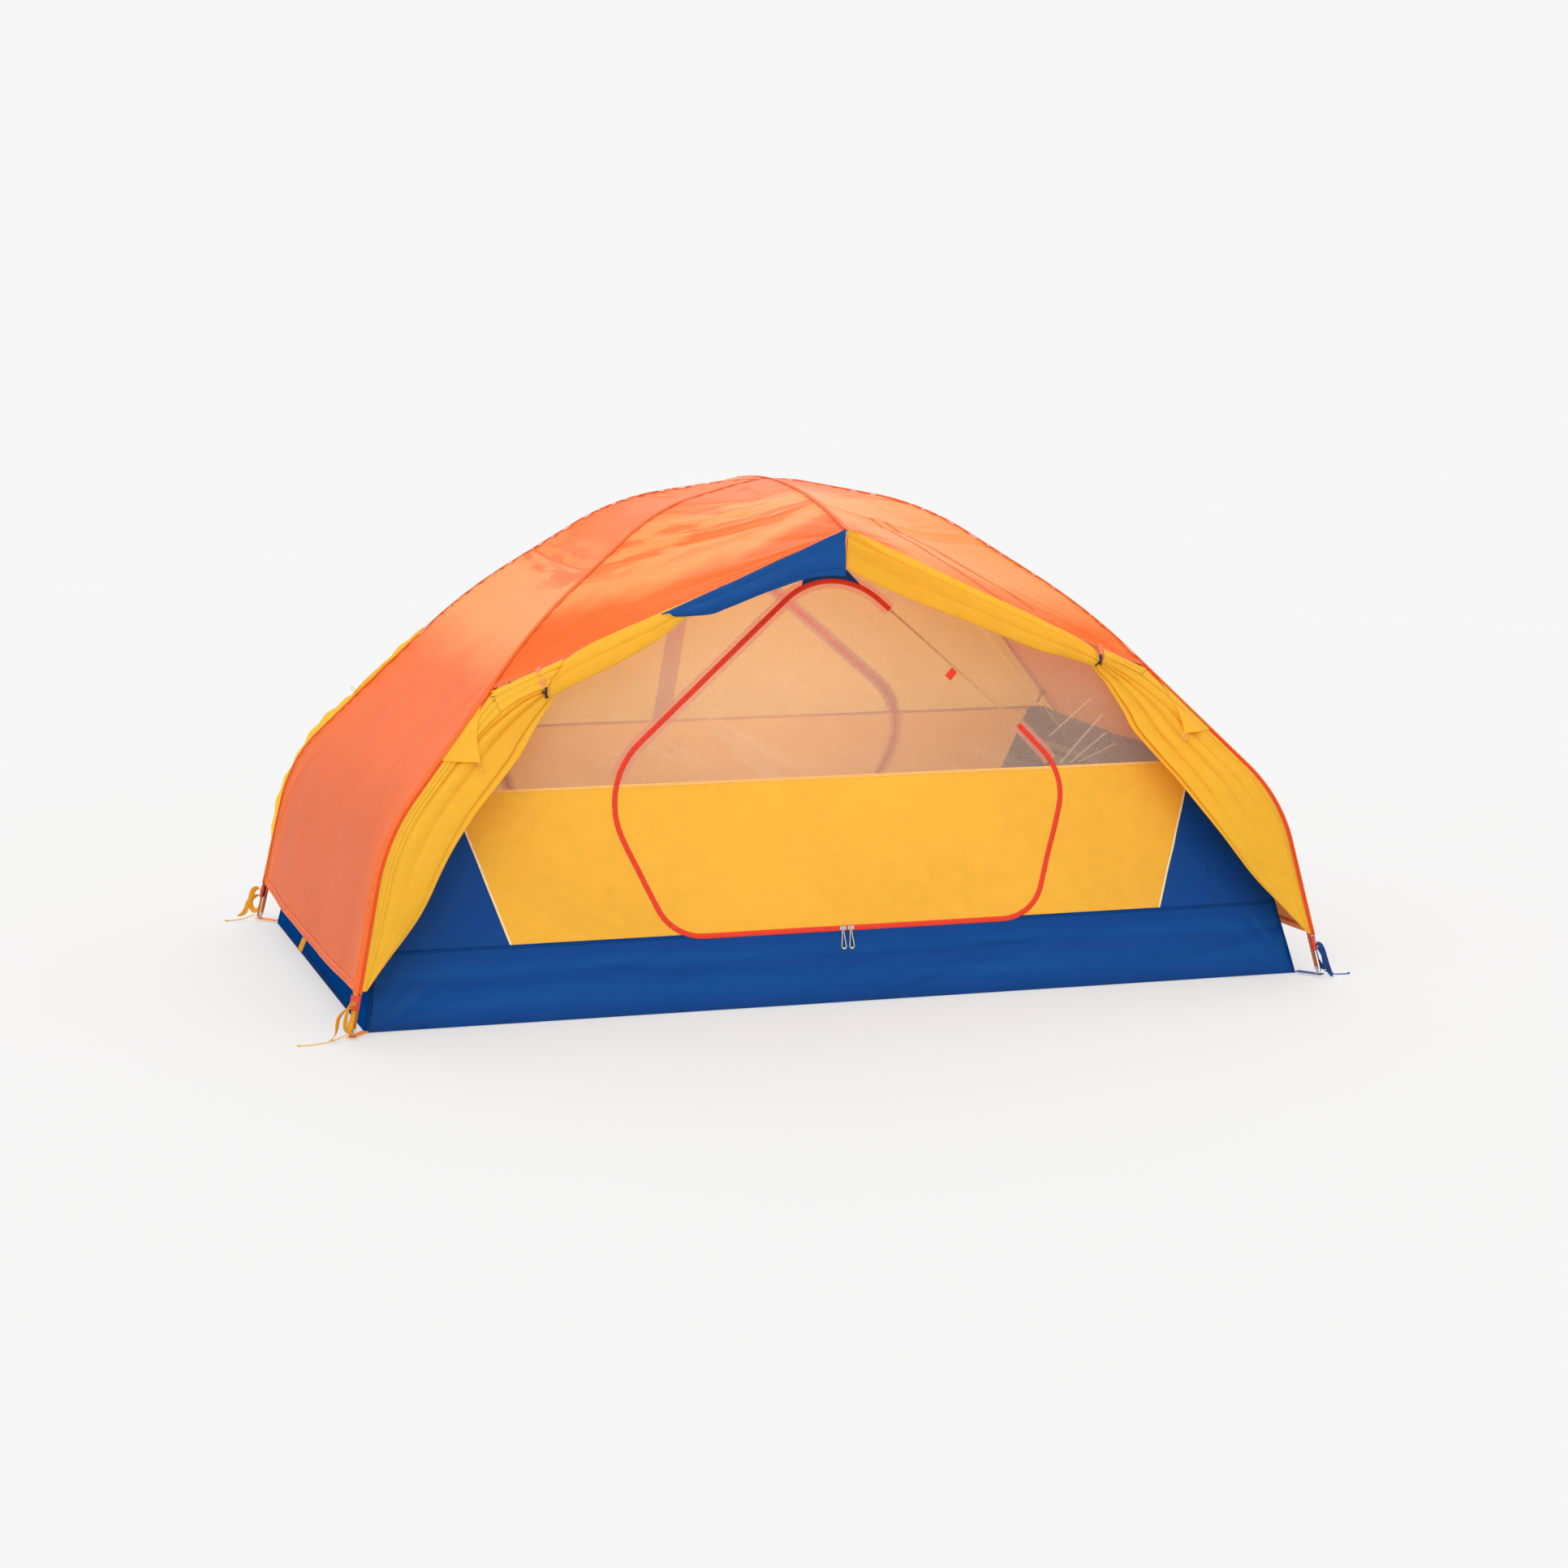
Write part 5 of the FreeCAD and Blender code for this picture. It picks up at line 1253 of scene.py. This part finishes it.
# Pull cord route in the plane of the wall, from one side of the slider's bridge to the other.
PULL = [(-0.0018, 0), (-0.0030, -0.0170), (-0.0046, -0.0290), (-0.0057, -0.0370),
        (-0.0050, -0.0420), (-0.0023, -0.0458), (0.0023, -0.0458), (0.0050, -0.0420),
        (0.0057, -0.0370), (0.0046, -0.0290), (0.0030, -0.0170), (0.0018, 0)]


def hung(x, face, p):
    """Point of a zip pull: p is across and up the tub wall from the slider at x."""
    v, rise = TUB_Z / SLOPE - 0.0046 + p[1], 0.0048
    y = -HALF_W + v * math.sin(LEAN) - rise * SLOPE
    spot = (x + p[0], y, v * SLOPE + rise * math.sin(LEAN))
    return spot if face < 0 else (-spot[0], -spot[1], spot[2])


for tag, face in BOTH:
    for hand, x in (("left", -0.006), ("right", 0.014)):
        body = "%s_slider_%s" % (tag, hand)
        route = [hung(x, face, p) for p in PULL]
        piece = cord_curve("pull_line_%s_%s" % (tag, hand), route, 0.001, M_CREAM, body)
        tie = knot("pull_knot_%s_%s" % (tag, hand), hung(x, face, (0, -0.0440)), 0.0011, M_CREAM,
                   body)
        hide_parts("pull_%s_%s" % (tag, hand))
        NODES["slider_%s_%s" % (tag, hand)].data.materials[0] = M_METAL

# ------------------------------------------------------------------ corner webbing
LEG = unit(np.array([0.2482, 0.9687]))
# Local stations: out from the pole, up along it, across it.
STRAP = [(0.0130, 0.1060, 0), (0.0105, 0.0900, 0), (0.0098, 0.0620, 0), (0.0098, 0.0300, 0),
         (0.0092, 0.0140, 0), (0.0050, 0.0080, 0)]
BIGHT = [(0.0125, 0.0740, 0.001), (0.0260, 0.0830, 0.010), (0.0420, 0.0740, 0.018),
         (0.0480, 0.0520, 0.020), (0.0410, 0.0290, 0.014), (0.0270, 0.0200, 0.007),
         (0.0150, 0.0260, 0.002), (0.0125, 0.0400, 0)]
TAIL = [(0.0125, 0.0700, -0.001), (0.0260, 0.0640, -0.008), (0.0380, 0.0440, -0.014),
        (0.0420, 0.0220, -0.011), (0.0500, 0.0060, -0.004), (0.0640, -0.0080, 0.001)]
for number, (sy, sx) in enumerate(CORNERS, start=1):
    foot = np.array([sx * FOOT_X, sy * FOOT_Y, 0])
    run = np.array([-sx * COS * LEG[0], -sy * SIN * LEG[0], LEG[1]])
    face = np.array([sx * COS * LEG[1], sy * SIN * LEG[1], LEG[0]])
    flat = np.array([-sy * SIN, sx * COS, 0]) * (sx * sy)
    mat = M_WEB_Y if sx < 0 else M_WEB_B
    for name, table, width in (("strap", STRAP, 0.015), ("bight", BIGHT, 0.0140),
                               ("tail", TAIL, 0.0130)):
        local = smooth(table, 60)
        if sx > 0 and name != "strap":
            local[:, 0] = 0.0115 + (local[:, 0] - 0.0115) * 0.45
        path = foot + face * local[:, :1] + run * local[:, 1:2] + flat * local[:, 2:]
        path[:, 2] = np.maximum(path[:, 2], 0.0045)
        run_of = heading(path)
        twist = np.radians(0 if name == "strap" else 80) * np.sin(np.linspace(0, 3, 60))[:, None]
        tilt = unit(flat * np.cos(twist) + np.cross(run_of, flat) * np.sin(twist))
        piece = sheet("corner_%s_%d" % (name, number), [ribbon(path, tilt, width, 4)], mat,
                      body="tent" if name == "strap" else None, thick=0.0009)
        if name == "strap":
            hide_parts("corner_straps")
        else:
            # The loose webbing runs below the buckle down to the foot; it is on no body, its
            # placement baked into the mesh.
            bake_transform(piece)

# ------------------------------------------------------------------ CAD nodes that stay
KEPT = {
    M_POLE: "pole_a_sections pole_b_sections brow_pole",
    M_METAL: "pole_ferrules pole_tips vestibule_slider",
    M_BLACK: "crossing_hub canopy_clips toggle_left toggle_right",
    M_RED: "corner_buckle_1 corner_buckle_2 corner_buckle_3 corner_buckle_4",
    M_BRASS: "grommets",
    M_WEB_2: "grommet_tabs",
    M_ZIP: "vestibule_zip tie_tab_front tie_tab_rear",
}
for mat, names in KEPT.items():
    for name in names.split():
        for slot in NODES[name].material_slots:
            slot.material = mat

# ------------------------------------------------------------------ stage, light, world
k = Mat("studio_floor")
k.set(k.bsdf, Roughness=0.95, Specular_IOR_Level=0.0, Emission_Color=grey(1),
      Emission_Strength=0.475)
grain = k.noise(k.n("TexCoord").outputs["Object"], 0.6, 2)
k.set(k.bsdf, Base_Color=k.ramp(grain, [(0.3, grey(0.345)), (0.7, grey(0.350))]))
turns = np.linspace(-math.pi, math.pi, 97)
rings = np.array([0, 2, 5, 9, 14, 22, 40, 90, 200])
disc = np.stack([np.outer(rings, np.cos(turns)), np.outer(rings, np.sin(turns)),
                 np.zeros((9, 97)) - 0.0002], 2)
grids("studio_floor", [disc], k.finish(), None)

world = bpy.data.worlds.new("studio")
SCENE.world = world
world.use_nodes = True
bg = world.node_tree.nodes["Background"]
bg.inputs["Color"].default_value = (1, 1, 1, 1)
bg.inputs["Strength"].default_value = 0.925


def light(name, kind, energy):
    data = bpy.data.lights.new(name, kind)
    data.energy = energy
    obj = bpy.data.objects.new(name, data)
    SCENE.collection.objects.link(obj)
    return data, obj


for name, direction in (("key", (0.45, 0.65, -0.75)), ("rear", (-0.25, -0.75, -0.70))):
    data, obj = light(name, "SUN", 0.9)
    data.angle = math.radians(50)
    obj.rotation_euler = Vector(direction).to_track_quat("-Z", "Y").to_euler()
data, obj = light("inside", "POINT", 10)
data.shadow_soft_size = 0.22
obj.location = (0, 0.05, 0.62)
obj.visible_camera = False
